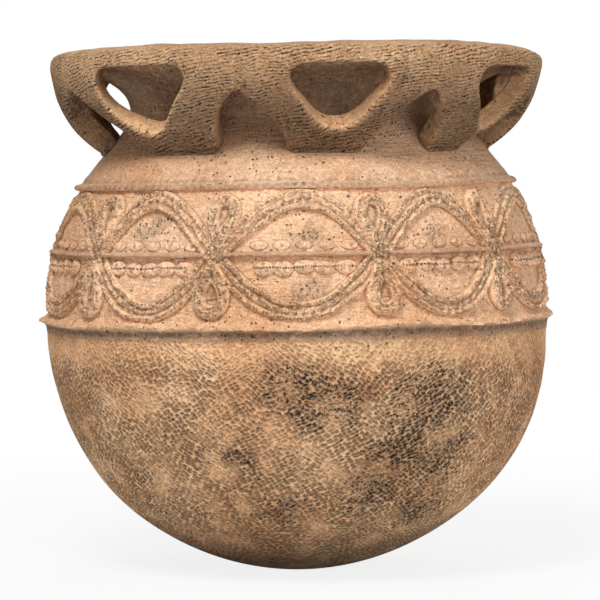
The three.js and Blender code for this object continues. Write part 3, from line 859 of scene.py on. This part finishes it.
flange_over = curve(
    (flange_radius, flange_crest_z + 0.6 * MM), (flange_radius - 4 * MM, flange_crest_z + 3 * MM),
    (float(wall_radius(flange_top_z)) + 0.8 * MM, flange_top_z - 7 * MM),
    (float(wall_radius(flange_top_z)) - 0.4 * MM, flange_top_z), 12)
flange_end_z = flange_crest_z - 9 * MM
flange_under = curve(
    (bowl_radius + 0.3 * MM, flange_end_z), (bowl_radius + 0.5 * MM, flange_crest_z - 3 * MM),
    (flange_radius - 3 * MM, flange_crest_z - 2 * MM), (flange_radius, flange_crest_z - 0.6 * MM), 10)
flange_back = [(bowl_radius - 3 * sunk, flange_top_z), (bowl_radius - 3 * sunk, flange_end_z)]


def ragged_edge(places):
    """Chip the edge of the flange and let it rise and fall."""
    radius = np.hypot(places[:, 0], places[:, 1])
    edge = np.clip((radius - bowl_radius) / (flange_radius - bowl_radius), 0, 1) ** 2
    chips = np.minimum(waves(places, 0.03, 31), 0.6) * 1.2 * MM + waves(places, 0.008, 32) * 0.9 * MM
    places[:, :2] *= (1 + edge * (chips + 0.3 * MM) / radius)[:, None]
    places[:, 2] += edge * (waves(places, 0.08, 33) * 1.1 + waves(places, 0.014, 34) * 0.6) * MM
    return places


flange_skin = turned(flange_under + flange_over + flange_back, 520)
# Painted shade under the flange's crest, easing off towards its lower end.
flange = finish_piece(
    flange_skin, "flange_coil", ["lower_flange"], band_clay, ragged_edge,
    dirt_and_shade=darker_above(flange_skin, flange_crest_z - 0.4 * MM, flange_crest_z - 3.5 * MM, 0.9)
    - darker_above(flange_skin, flange_crest_z - 4 * MM, flange_end_z, 0.4), hollows=0.3)
report("flange", [flange])

# %% [markdown]
# ## Wet clay that melts together
#
# Applied cords and pellets are pressed on while the clay is wet, so they run into each other. A Boolean
# modifier would leave sharp seams between them, so each piece is laid out flat from simple tubes and balls,
# fused into one skin by a voxel remesh, rubbed smooth, and only then bent onto the wall. The flat stage is
# also where `lay` is read off, from the nearest point of the cord.

# %% Fuse


def fuse(bm, voxel, passes):
    """Melt overlapping shapes into one skin and rub it smooth."""
    mesh = bpy.data.meshes.new("wet_clay")
    bm.to_mesh(mesh)
    bm.free()
    lump = bpy.data.objects.new("wet_clay", mesh)
    scene.collection.objects.link(lump)
    melt = lump.modifiers.new("melt", "REMESH")
    melt.mode = "VOXEL"
    melt.voxel_size = voxel
    skin = bpy.data.meshes.new_from_object(lump.evaluated_get(bpy.context.evaluated_depsgraph_get()))
    fused = bmesh.new()
    fused.from_mesh(skin)
    bpy.data.objects.remove(lump)
    bpy.data.meshes.remove(mesh)
    bpy.data.meshes.remove(skin)
    for _ in range(passes):
        bmesh.ops.smooth_vert(
            fused, verts=fused.verts, factor=0.5, use_axis_x=True, use_axis_y=True, use_axis_z=True)
    return fused


# %% Bend onto the wall
bend_radius = float(wall_radius(mid_fillet_z))


def on_wall(angle, around=bend_radius):
    """A function that bends flat places (way round, height, way out) onto the wall at an angle."""
    def bend(places):
        turn = angle + places[:, 0] / around
        lumps = 0.6 * MM * waves(places, 0.006, 41) * np.clip(places[:, 2] / (2 * MM), 0, 1)
        radius = wall_radius(places[:, 1]) + places[:, 2] + lumps
        return np.stack((radius * np.sin(turn), -radius * np.cos(turn), places[:, 1]), axis=1)
    return bend


def seat_shade(bm, amount=0.55, depth=1.1 * MM):
    """Painted shade in the corner where an applied piece meets the wall."""
    return amount * np.clip(1.25 - flat_places(bm)[:, 2] / depth, 0, 1)


# %% Cords and pellets


def tube(bm, points, width, height, uneven=0.0):
    """Add a cord along flat points, round in section, pressed down to a height and unevenly thick."""
    swells = 1 + uneven * waves(np.array([(x, y, width) for x, y in points]), 0.018, 43)
    line = bpy.data.curves.new("line", "CURVE")
    line.dimensions = "3D"
    line.bevel_depth = width / 2
    line.bevel_resolution = 2
    line.use_fill_caps = True
    spline = line.splines.new("POLY")
    spline.points.add(len(points) - 1)
    for point, (x, y), swell in zip(spline.points, points, swells):
        point.co = (x, y, 0, 1)
        point.radius = swell
    carrier = bpy.data.objects.new("line", line)
    mesh = bpy.data.meshes.new_from_object(carrier)
    press = np.array([1, 1, height / (width / 2)])
    mesh.vertices.foreach_set("co", (coordinates(mesh) * press).astype(np.float32).ravel())
    bm.from_mesh(mesh)
    bpy.data.objects.remove(carrier)
    bpy.data.curves.remove(line)
    bpy.data.meshes.remove(mesh)


def ball(bm, x, y, length, tall, stand_out):
    """Add a pressed pellet to the flat piece."""
    made = bmesh.ops.create_uvsphere(bm, u_segments=20, v_segments=12, radius=1)["verts"]
    bmesh.ops.scale(bm, vec=(length / 2, tall / 2, stand_out), verts=made)
    bmesh.ops.translate(bm, vec=(x, y, 0), verts=made)


# %% Marks along a cord
next_line = 0.113


def lay_along(lines, bm, reach_out):
    """For each vertex, the way along and across the nearest line, and how deeply it is marked.
    Each line starts a step further along, so that no two are marked alike."""
    samples = []
    start = 0.0
    for line in lines:
        points = np.array(line)
        steps = np.linalg.norm(np.diff(points, axis=0), axis=1)
        lengths = start + np.concatenate(([0], np.cumsum(steps)))
        headings = np.gradient(points, axis=0)
        headings /= np.linalg.norm(headings, axis=1)[:, None]
        samples += [(*p, *h, s) for p, h, s in zip(points, headings, lengths)]
        start += next_line
    tree = kdtree.KDTree(len(samples))
    for i, sample in enumerate(samples):
        tree.insert((sample[0], sample[1], 0), i)
    tree.balance()
    lay = np.zeros((len(bm.verts), 3))
    for i, vert in enumerate(bm.verts):
        x, y, hx, hy, length = samples[tree.find((vert.co.x, vert.co.y, 0))[1]]
        dx, dy = vert.co.x - x, vert.co.y - y
        across = dx * hy - dy * hx
        lay[i] = (length + dx * hx + dy * hy, across, min(max(2.2 - 2.7 * abs(across) / reach_out, 0), 1))
    return lay


# %% [markdown]
# ## The openwork collar
#
# Seven V-shaped straps tie the lip back to the neck, spaced by eye. Their holes could be cut out of a turned
# wall, but the cuts would be hard to soften. So each strap is cut from a flat slab: an outline with an arch
# at both sides, pierced by a rounded triangle. The slab is a little too large, is fused and rubbed until its
# edges are as soft as a wet finger leaves them, and is then trimmed along its joints so neighbours meet.

# %% Outline of one strap
strap_angles = np.radians([8.5, 57, 103, 150, 197, 263, 323])
strap_count = len(strap_angles)
strap_steps = np.diff(np.append(strap_angles, strap_angles[0] + 2 * math.pi))
strap_thickness = 15 * MM
spare = 12 * MM
strap_end_z = strap_foot_z - 2.5 * MM
hole_top_z = lip_bottom_z - 3 * MM
hole_corner = 24 * MM
print("steps between straps in degrees:", np.round(np.degrees(strap_steps), 1))


def rounded(corners, cuts, fullness=0.38, steps=8):
    """A closed line along the sides of a corner list, with each corner cut back and rounded."""
    line = []
    befores = corners[-1:] + corners[:-1]
    afters = corners[1:] + corners[:1]
    for before, corner, after, cut in zip(befores, corners, afters, cuts):
        start = lerp(corner, before, cut / math.dist(corner, before))
        end = lerp(corner, after, cut / math.dist(corner, after))
        line += curve(start, lerp(start, corner, fullness), lerp(end, corner, fullness), end, steps)
    return line


def arch_side(side, step, gap, lift, broad):
    """One side of an arch, from past the joint with the next strap down to a foot a gap away from it.
    lift raises its top, and broad makes the top flatter."""
    apex_z = strap_foot_z + 39.5 * MM * math.sqrt(step * strap_count / (2 * math.pi)) + lift
    joint = strap_radius * step / 2
    leaving = (5 * MM + broad, apex_z - 1.5 * MM + 0.1 * broad)
    arriving = (0.9 * gap - 0.4 * max(gap - 45 * MM, 0), strap_foot_z + 18 * MM)
    line = curve((0, apex_z), leaving, arriving, (gap - 2 * MM, strap_end_z + 4 * MM), 14)
    line += [(gap + 3 * MM, strap_end_z)]
    return [(side * (joint - x), z) for x, z in [(-spare, apex_z - 6 * MM)] + line]


def hole_line(shift, low_shift, half, drop, low_cut):
    """A rounded triangle whose sides fall steeply to a low corner."""
    corners = [(shift - half, hole_top_z), (low_shift, hole_top_z - drop), (shift + half, hole_top_z)]
    return rounded(corners, [hole_corner, low_cut, hole_corner], 0.5)


def left_hole_line():
    """The hole on the left of the front, which has a fourth corner low on its left side."""
    corners = [(x * MM, hole_top_z - y * MM) for x, y in ((-47, 0), (-39, 30), (-5, 51), (41, 0))]
    return rounded(corners, [14 * MM, 14 * MM, 18 * MM, 22 * MM], 0.5)


# %% Cut and trim a slab


def slab(lines, thickness, edge):
    """A flat slab bounded by closed lines, outside first, thick along -Z and rounded along its front edge."""
    bm = bmesh.new()
    edges = []
    for line in lines:
        verts = [bm.verts.new((x, y, 0)) for x, y in line]
        edges += [bm.edges.new(pair) for pair in zip(verts, verts[1:] + verts[:1])]
    bmesh.ops.triangle_fill(bm, use_beauty=True, use_dissolve=False, edges=edges)
    grown = bmesh.ops.extrude_face_region(bm, geom=bm.faces[:])["geom"]
    back = [g for g in grown if isinstance(g, bmesh.types.BMVert)]
    bmesh.ops.translate(bm, vec=(0, 0, -thickness), verts=back)
    bmesh.ops.recalc_face_normals(bm, faces=bm.faces)
    rims = [e for e in bm.edges if len(e.link_faces) == 2 and e.calc_face_angle() > 1.2]
    front = [e for e in rims if e.verts[0].co.z == 0 and e.verts[1].co.z == 0]
    bmesh.ops.bevel(
        bm, geom=front, offset=edge, segments=3, profile=0.5, affect="EDGES", material=-1,
        clamp_overlap=False)
    return bm


def trim(bm, point, normal):
    """Cut off what lies beyond a plane, and close the cut."""
    everything = bm.verts[:] + bm.edges[:] + bm.faces[:]
    cut = bmesh.ops.bisect_plane(bm, geom=everything, plane_co=point, plane_no=normal, clear_outer=True)
    edges = [g for g in cut["geom_cut"] if isinstance(g, bmesh.types.BMEdge)]
    bmesh.ops.holes_fill(bm, edges=edges, sides=0)


# %% [markdown]
# The collar's line runs from the neck up to the lip in one bow. Below the straps' feet it falls back onto the
# neck, so the feet thin out into the wall.

# %% Bend a strap onto the collar
collar_foot = (float(wall_radius(strap_foot_z)) + 4 * MM, strap_foot_z)
collar_top = (lip_radius, lip_bottom_z)
slope = np.array(collar_foot) - np.array(collar_top)
slope /= np.linalg.norm(slope)
collar_middle = (np.array(collar_foot) + np.array(collar_top)) / 2
collar_bow = tuple(collar_middle + 15 * MM * np.array((-slope[1], slope[0])))
collar_rise = curve(
    collar_foot, lerp(collar_foot, collar_bow, 2 / 3), lerp(collar_top, collar_bow, 2 / 3), collar_top)
collar_end_z = strap_foot_z - 9 * MM
collar_line = np.array([(float(wall_radius(collar_end_z)) - 1 * MM, collar_end_z)] + collar_rise)
collar_way = np.gradient(collar_line, axis=0)
collar_way /= np.linalg.norm(collar_way, axis=1)[:, None]
print("collar from", np.round(collar_foot, 4), "to", np.round(collar_top, 4))


def on_collar(angle):
    """A function that bends a flat strap (way round, height, way out) onto the collar."""
    def bend(places):
        height = places[:, 1]
        turn = angle + places[:, 0] / strap_radius
        out_r = np.interp(height, collar_line[:, 1], collar_way[:, 1])
        out_z = -np.interp(height, collar_line[:, 1], collar_way[:, 0])
        radius = np.interp(height, collar_line[:, 1], collar_line[:, 0]) + places[:, 2] * out_r
        rise = height + places[:, 2] * out_z
        return np.stack((radius * np.sin(turn), -radius * np.cos(turn), rise), axis=1)
    return bend


# %% [markdown]
# No two straps are alike. The foot gaps, hole places and hole depths of those that show are listed here, in
# millimetres, and the others get random ones. One side of the left hole is splayed, so that one can see
# through it from the front.

# %% Cut one strap
rng = np.random.default_rng(5)
foot_gaps = {0: (34, 40), 1: (20, 74), 2: (34, 36), 4: (36, 46), 5: (76, 34), 6: (62, 25)}
hole_shifts = {0: (4, 4), 1: (5, -4), 2: (-7, -4), 5: (9, 12)}
hole_drops = {1: (51, 18), 2: (50, 20), 5: (48, 22)}
left_hole_strap = 6
arch_lifts = [0, 0, 0, 0, 9 * MM, 0, 0]
arch_broads = [0, 0, 0, 0, 35 * MM, 0, 0]
strap_edge = 2.4 * MM
strap_voxel = 1.3 * MM
hole_splay = 0.9
splay_x = -42 * MM
splay_width = 15 * MM


def cut_strap(i):
    """The flat slab of one strap, trimmed along its joints with its neighbours and the lip."""
    left_gap, right_gap = foot_gaps.get(i, rng.uniform(30, 42, 2))
    shift, low_shift = hole_shifts.get(i, rng.uniform(-3, 3, 2))
    left_joint = -strap_radius * strap_steps[i - 1] / 2
    right_joint = strap_radius * strap_steps[i] / 2
    top_z = lip_bottom_z + spare
    left_arch = arch_side(-1, strap_steps[i - 1], left_gap * MM, arch_lifts[i - 1], arch_broads[i - 1])
    right_arch = arch_side(1, strap_steps[i], right_gap * MM, arch_lifts[i], arch_broads[i])
    outline = [(left_joint - spare, top_z)] + left_arch + right_arch[::-1] + [(right_joint + spare, top_z)]
    half = rng.uniform(44, 46)
    drop, low_cut = hole_drops.get(i, (1.3 * half, 30))
    hole = hole_line(shift * MM, low_shift * MM, half * MM, drop * MM, low_cut * MM)
    if i == left_hole_strap:
        hole = left_hole_line()
    strap = fuse(slab([outline, hole], strap_thickness, strap_edge), strap_voxel, 3)
    trim(strap, (right_joint, 0, 0), (1, 0, 0))
    trim(strap, (left_joint, 0, 0), (-1, 0, 0))
    trim(strap, (0, lip_seam_z, 0), (0, 1, 0))
    if i == left_hole_strap:
        for vert in strap.verts:
            vert.co.x += hole_splay * vert.co.z * math.exp(-((vert.co.x - splay_x) / splay_width) ** 2)
    return strap


def strap_shade(strap, flat):
    """Painted shade deep in the holes, under the tops of holes and arches, and on the lower part of the strap
    where it faces down.
    """
    strap.normal_update()
    upwards = np.array([vert.normal.y for vert in strap.verts])
    # Painted shade on the inner walls of holes and arches, except where they face up.
    shaded = 0.85 * np.clip(-(flat[:, 2] + 4 * MM) / (5 * MM), 0, 1) * np.clip(1 - 2 * upwards, 0, 1)
    # Painted shade on the lower part of the strap, strongest where it faces down.
    low_shade = 0.68 * np.clip((lip_bottom_z - flat[:, 1]) / (30 * MM), 0, 1) * np.clip(1 - upwards, 0, 1)
    # Painted shadow under the tops of holes and arches.
    lintel_shade = 0.95 * np.clip(-(flat[:, 2] + 0.3 * MM) / (1.2 * MM), 0, 1) * np.clip(-1.5 * upwards, 0, 1)
    return np.maximum(np.maximum(shaded, lintel_shade), low_shade)


# %% Straps
straps = []
for i in range(strap_count):
    strap = cut_strap(i)
    flat = flat_places(strap)
    angle = (strap_angles[i] + math.pi) % (2 * math.pi) - math.pi
    marked = np.clip(1 + (flat[:, 2] + 0.6 * MM) / (2.6 * MM), 0, 1)
    lay = np.stack((flat[:, 0] + angle * strap_radius, flat[:, 1], marked), axis=1)
    straps.append(finish_piece(
        strap, f"strap_{i + 1:02d}", [f"rim_strap_{i + 1:02d}"], collar_clay, on_collar(angle),
        lay, strap_shade(strap, flat)))
report("straps", straps)

# %% [markdown]
# ## The laid cords
#
# Two wavy bands of cords go round the shoulder and cross ten times, so each bay between two crossings is
# framed by an oval. Each band is three cords side by side over a thin bed of clay. One oval is one piece,
# trimmed at its crossings, where the next oval carries the same cords on.

# %% Bays round the shoulder
bay_count = 10
front_bay = math.radians(37)
flank_bay = math.radians(32.5)
other_bay = (2 * math.pi - front_bay - 2 * flank_bay) / (bay_count - 3)
bay_spans = [front_bay, flank_bay] + [other_bay] * (bay_count - 3) + [flank_bay]
crossings = [-front_bay / 2 + sum(bay_spans[:i]) for i in range(bay_count)]
bay_middles = [start + span / 2 for start, span in zip(crossings, bay_spans)]
cord_pitch = 4.6 * MM
print("bays in degrees:", np.round(np.degrees(bay_spans), 1))


def arc_line(half, rise, lean, shift):
    """The middle line of one band over a bay, from crossing to crossing and a little past them."""
    slope = math.tan(math.radians(lean))
    lift = rise / 0.75
    handle = abs(lift) / slope
    ends = [(-half, 0), (-half + handle + shift, lift), (half - handle + shift, lift), (half, 0)]
    line = [(x, mid_fillet_z + y) for x, y in curve(*ends, 40)]
    past = 12 * MM
    fall = past * slope * math.copysign(1, rise)
    return [(-half - past, mid_fillet_z - fall)] + line + [(half + past, mid_fillet_z - fall)]


def beside(line, distance, seed):
    """The line moved sideways, and wandering a little as a hand lays it."""
    points = np.array(line)
    ways = np.gradient(points, axis=0)
    ways /= np.linalg.norm(ways, axis=1)[:, None]
    wander = 0.5 * MM * waves(np.column_stack((points, np.zeros(len(points)))), 0.03, seed)
    sideways = np.stack((-ways[:, 1], ways[:, 0]), axis=1)
    return [tuple(p) for p in points + (distance + wander)[:, None] * sideways]


# %% [markdown]
# The upper band is low and fades into the wall at its outer edge, while its inner edge stands up. The lower
# band keeps three full cords. Both lists give the heights of the cords in millimetres, from the inner side of
# the bay to the outer side.

# %% Cord ovals
fine_voxel = 0.65 * MM
upper_cords = [4.8, 4.0, 2.8]
lower_cords = [4.4, 4.5, 4.9]
rng = np.random.default_rng(12)
ovals = []
for i in range(bay_count):
    half = bay_spans[i] * bend_radius / 2
    flat = bmesh.new()
    lines = []
    for rise, lean, cords in ((36 * MM, 50, upper_cords), (-37 * MM, 54, lower_cords)):
        shift = 6 * MM if i == 0 and rise > 0 else rng.uniform(-4, 4) * MM
        middle = arc_line(half, rise, lean, shift)
        tube(flat, middle, cord_pitch * 3.1, 1.4 * MM)
        for k, height in enumerate(cords):
            side = (k - 1) * cord_pitch * math.copysign(1, rise)
            lines.append(beside(middle, side, i * 10 + k + 100))
            width = cord_pitch * rng.uniform(0.84, 0.98)
            tube(flat, lines[-1], width, height * rng.uniform(0.85, 1.1) * MM, 0.08)
    oval = fuse(flat, fine_voxel, 1)
    trim(oval, (half, 0, 0), (1, 0, 0))
    trim(oval, (-half, 0, 0), (-1, 0, 0))
    ovals.append(finish_piece(
        oval, f"cords_{i + 1:02d}", [f"cord_oval_{i + 1:02d}"], cord_clay,
        on_wall(bay_middles[i]), lay_along(lines, oval, cord_pitch / 2), seat_shade(oval)))
report("cord ovals", ovals)

# %% [markdown]
# ## The folded loops
#
# Above and below each crossing lies a cord folded double, with its round fold away from the crossing and a
# slit left between its two legs. The fold is one teardrop line, followed by a thick cord over a thin bed of
# clay. The loops on the two flanks are pressed flatter than the others.

# %% Folded loops
upper_fillet_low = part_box("upper_fillet")[0].z
loop_tip = 6 * MM
loop_voxel = 0.8 * MM
loop_height = 5.8 * MM
upper_leans = {0: 9, 1: -7, 2: -16, 9: 4}
lower_leans = {0: -2, 1: 6, 2: 7, 9: -4}
pressed_flat = {3: 3.2 * MM, 8: 3.2 * MM}


def loop_line(length, half, lean):
    """A teardrop from the tip up one leg, round the fold and down the other, leaning sideways."""
    left = curve((0, 0), (-half * 0.3, length * 0.3), (-half * 1.1, length * 0.5), (-half, length - half), 14)
    fold = [(half * -math.cos(t), length - half + half * math.sin(t)) for t in np.linspace(0, math.pi, 14)]
    right = [(-x, y) for x, y in left[::-1]]
    turn = math.radians(lean)
    line = left[:-1] + fold + right[1:]
    cos, sin = math.cos(turn), math.sin(turn)
    return [(x * cos + y * sin, y * cos - x * sin) for x, y in line]


def folded_loop(name, node, crossing, start, end, lean, rng):
    cord = rng.uniform(9.4, 10.4) * MM
    half = rng.uniform(7.6, 8.4) * MM
    length = abs(end - start) - cord / 2
    up = math.copysign(1, end - start)
    line = [(x, start + up * y) for x, y in loop_line(length, half, lean)]
    head_x = math.sin(math.radians(lean)) * (length - half)
    flat = bmesh.new()
    tube(flat, line, cord, pressed_flat.get(crossing, loop_height), 0.08)
    tube(flat, [(0.0, start), (head_x, start + up * (length - half))], cord * 1.4, 1.2 * MM)
    loop = fuse(flat, loop_voxel, 1)
    return finish_piece(
        loop, name, [node], cord_clay, on_wall(crossings[crossing]),
        lay_along([line], loop, cord / 2), seat_shade(loop, 0.65, 1.8 * MM))


rng = np.random.default_rng(23)
rows = {
    "upper": (mid_fillet_z + loop_tip, upper_fillet_low - 1 * MM, upper_leans, 12),
    "lower": (mid_fillet_z - loop_tip, flange_high.z + 1 * MM, lower_leans, 8)}
loops = []
for i in range(bay_count):
    for row, (start, end, leans, sway) in rows.items():
        lean = leans.get(i, rng.uniform(-sway, sway))
        loops.append(folded_loop(
            f"{row}_fold_{i + 1:02d}", f"{row}_loop_{i + 1:02d}", i, start, end, lean, rng))
report("folded loops", loops)

# %% [markdown]
# ## Bead fillets and the upper fillet
#
# A thin coil crosses each bay, with a row of balls pressed on below it and flattened discs above it. A roller
# was run once along the balls, so `lay` marks only a narrow line on them. The upper fillet repeats the discs
# all the way round the foot of the neck. Handling has left the crests of these coils grey.

# %% Bead fillets
pellet_count = 5
pellet_length = 14.4 * MM
pellet_tall = 10 * MM
pellet_pitch = 13.2 * MM
disc_pitch = 15 * MM
row_z = mid_fillet_z - 8.6 * MM


def row_lay(bm, row_z):
    """Marks in one narrow line along a row."""
    places = flat_places(bm)
    across = places[:, 1] - row_z
    return np.stack((places[:, 0], across, np.exp(-(across / (0.9 * MM)) ** 2)), axis=1)


def crest_dirt_and_seat_shade(bm, crest_z, seat):
    """Painted shade at the seat of a row, and dirt on the crest of its ledge."""
    places = flat_places(bm)
    crest = np.exp(-((places[:, 1] - crest_z) / (2 * MM)) ** 2) * np.clip(places[:, 2] / (3.5 * MM), 0, 1)
    return np.maximum(seat_shade(bm, seat, 0.8 * MM), 0.5 * crest)


def discs(bm, count, middle, z, stand_out, rng):
    """A row of flattened discs."""
    for k in range(count):
        x = middle + (k - (count - 1) / 2) * disc_pitch
        length = rng.uniform(11.5, 13.5) * MM
        tall = rng.uniform(6.2, 7.4) * MM
        ball(bm, x, z, length, tall, rng.uniform(0.7, 1.2) * stand_out)


rng = np.random.default_rng(31)
bead_fillets = []
for i in range(bay_count):
    half = bay_spans[i] * bend_radius / 2
    shift = 5 * MM if i == 0 else rng.uniform(-2, 2) * MM
    flat = bmesh.new()
    ledge = [(x, mid_fillet_z) for x in np.linspace(6 * MM - half, half - 6 * MM, 40)]
    tube(flat, ledge, 3.4 * MM, 6.4 * MM, 0.06)
    for k in range(pellet_count):
        x = shift + (k - pellet_count // 2) * pellet_pitch + rng.uniform(-0.6, 0.6) * MM
        ball(flat, x, row_z + rng.uniform(-0.7, 0.7) * MM, pellet_length * rng.uniform(0.92, 1.08),
             pellet_tall * rng.uniform(0.88, 1.08), rng.uniform(3.8, 4.8) * MM)
    discs(flat, pellet_count, shift, mid_fillet_z + 5.8 * MM, 1.6 * MM, rng)
    beads = fuse(flat, fine_voxel, 1)
    bead_fillets.append(finish_piece(
        beads, f"beads_{i + 1:02d}", [f"bead_fillet_{i + 1:02d}"], bead_clay,
        on_wall(bay_middles[i]), row_lay(beads, row_z), crest_dirt_and_seat_shade(beads, mid_fillet_z, 0.8)))
report("bead fillets", bead_fillets)

# %% Upper fillet
strip_voxel = 0.9 * MM
half = math.pi * neck_base_radius
flat = bmesh.new()
past = half + 5 * MM
tube(flat, [(x, neck_base_z) for x in np.linspace(-past, past, 300)], 5.4 * MM, 4.8 * MM, 0.06)
discs(flat, int(2 * half / disc_pitch), 0, neck_base_z + 5.6 * MM, 0.7 * MM, rng)
strip = fuse(flat, strip_voxel, 1)
trim(strip, (half, 0, 0), (1, 0, 0))
trim(strip, (-half, 0, 0), (-1, 0, 0))
neck_fillet = finish_piece(
    strip, "neck_fillet", ["upper_fillet"], bead_clay, on_wall(0, neck_base_radius),
    row_lay(strip, neck_base_z - 20 * MM), crest_dirt_and_seat_shade(strip, neck_base_z, 0.3))
report("upper fillet", [neck_fillet])

# %% [markdown]
# ## Stage, light and camera
#
# The pot stands on a pale floor in soft studio light, seen from a little below its lip by a long lens.
# The floor is partly its own light to the camera, so it reads as white and still keeps the pot's shadow.

# %% Floor
sheet = bmesh.new()
bmesh.ops.create_grid(sheet, x_segments=1, y_segments=1, size=60)
floor_mesh = bpy.data.meshes.new("floor")
sheet.to_mesh(floor_mesh)
sheet.free()
floor = bpy.data.objects.new("floor", floor_mesh)
scene.collection.objects.link(floor)


def seen_directly(tree):
    """1 for rays from the camera, a mirror or glass."""
    path = put(tree, "LightPath").outputs
    shine = calc(tree, "MAXIMUM", path["Is Glossy Ray"], path["Is Transmission Ray"])
    return calc(tree, "MAXIMUM", path["Is Camera Ray"], shine)


floor_white = bpy.data.materials.new("floor_white")
floor_white.use_nodes = True
tree = floor_white.node_tree
tree.nodes.clear()
matt = put(tree, "BsdfDiffuse", {"Color": (0.86, 0.86, 0.86, 1)}).outputs[0]
glow = put(tree, "Emission", {"Color": (1, 1, 1, 1), "Strength": 1.0}).outputs[0]
place = put(tree, "TexCoord").outputs["Object"]
away = put(tree, "VectorMath", {0: place}, operation="LENGTH").outputs["Value"]
share = calc(tree, "MULTIPLY", seen_directly(tree), between(tree, away, 0.2, 1.0, 0.85, 1.0))
blend = put(tree, "MixShader", {0: share, 1: matt, 2: glow}).outputs[0]
put(tree, "OutputMaterial", {"Surface": blend})
floor_mesh.materials.append(floor_white)

# %% Lights
world = bpy.data.worlds.new("studio")
world.use_nodes = True
scene.world = world
tree = world.node_tree
tree.nodes.clear()
ambient = 0.24
strength = calc(tree, "MULTIPLY_ADD", seen_directly(tree), 1.0 - ambient, ambient)
sky = put(tree, "Background", {"Color": (1, 1, 1, 1), "Strength": strength}).outputs[0]
put(tree, "OutputWorld", {"Surface": sky})


def lamp(name, place, aim, size, power):
    light = bpy.data.lights.new(name, "AREA")
    light.shape = "DISK"
    light.size = size
    light.energy = power
    stand = bpy.data.objects.new(name, light)
    stand.location = place
    stand.rotation_euler = (Vector(aim) - Vector(place)).to_track_quat("-Z", "Y").to_euler()
    scene.collection.objects.link(stand)


pot_middle = (0, 0, lip_top_z / 2)
lamp("key", (-0.45, -1.5, 2.0), pot_middle, 0.9, 37)
lamp("fill", (1.3, -1.8, 0.9), pot_middle, 1.4, 13)
lamp("back", (0.4, 1.6, 1.6), pot_middle, 1.2, 12)
print("lamps:", [light.name for light in bpy.data.lights])

# %% Camera
image_size = 600
photo_scale = 0.705 * MM
axis_pixel = 297
foot_pixel = 566
eye_pixel = 170
distance = 2.16
eye = Vector((0, -distance, (foot_pixel - eye_pixel) * photo_scale))
aim = Vector(((image_size / 2 - axis_pixel) * photo_scale, 0, (foot_pixel - image_size / 2) * photo_scale))
eye.x = aim.x
lens = bpy.data.cameras.new("camera")
lens.sensor_width = 36
lens.lens = lens.sensor_width * distance / (image_size * photo_scale)
camera = bpy.data.objects.new("camera", lens)
camera.location = eye
camera.rotation_euler = (aim - eye).to_track_quat("-Z", "Y").to_euler()
scene.collection.objects.link(camera)
scene.camera = camera
scene.view_settings.view_transform = "Standard"
print("lens in mm:", round(lens.lens, 1))
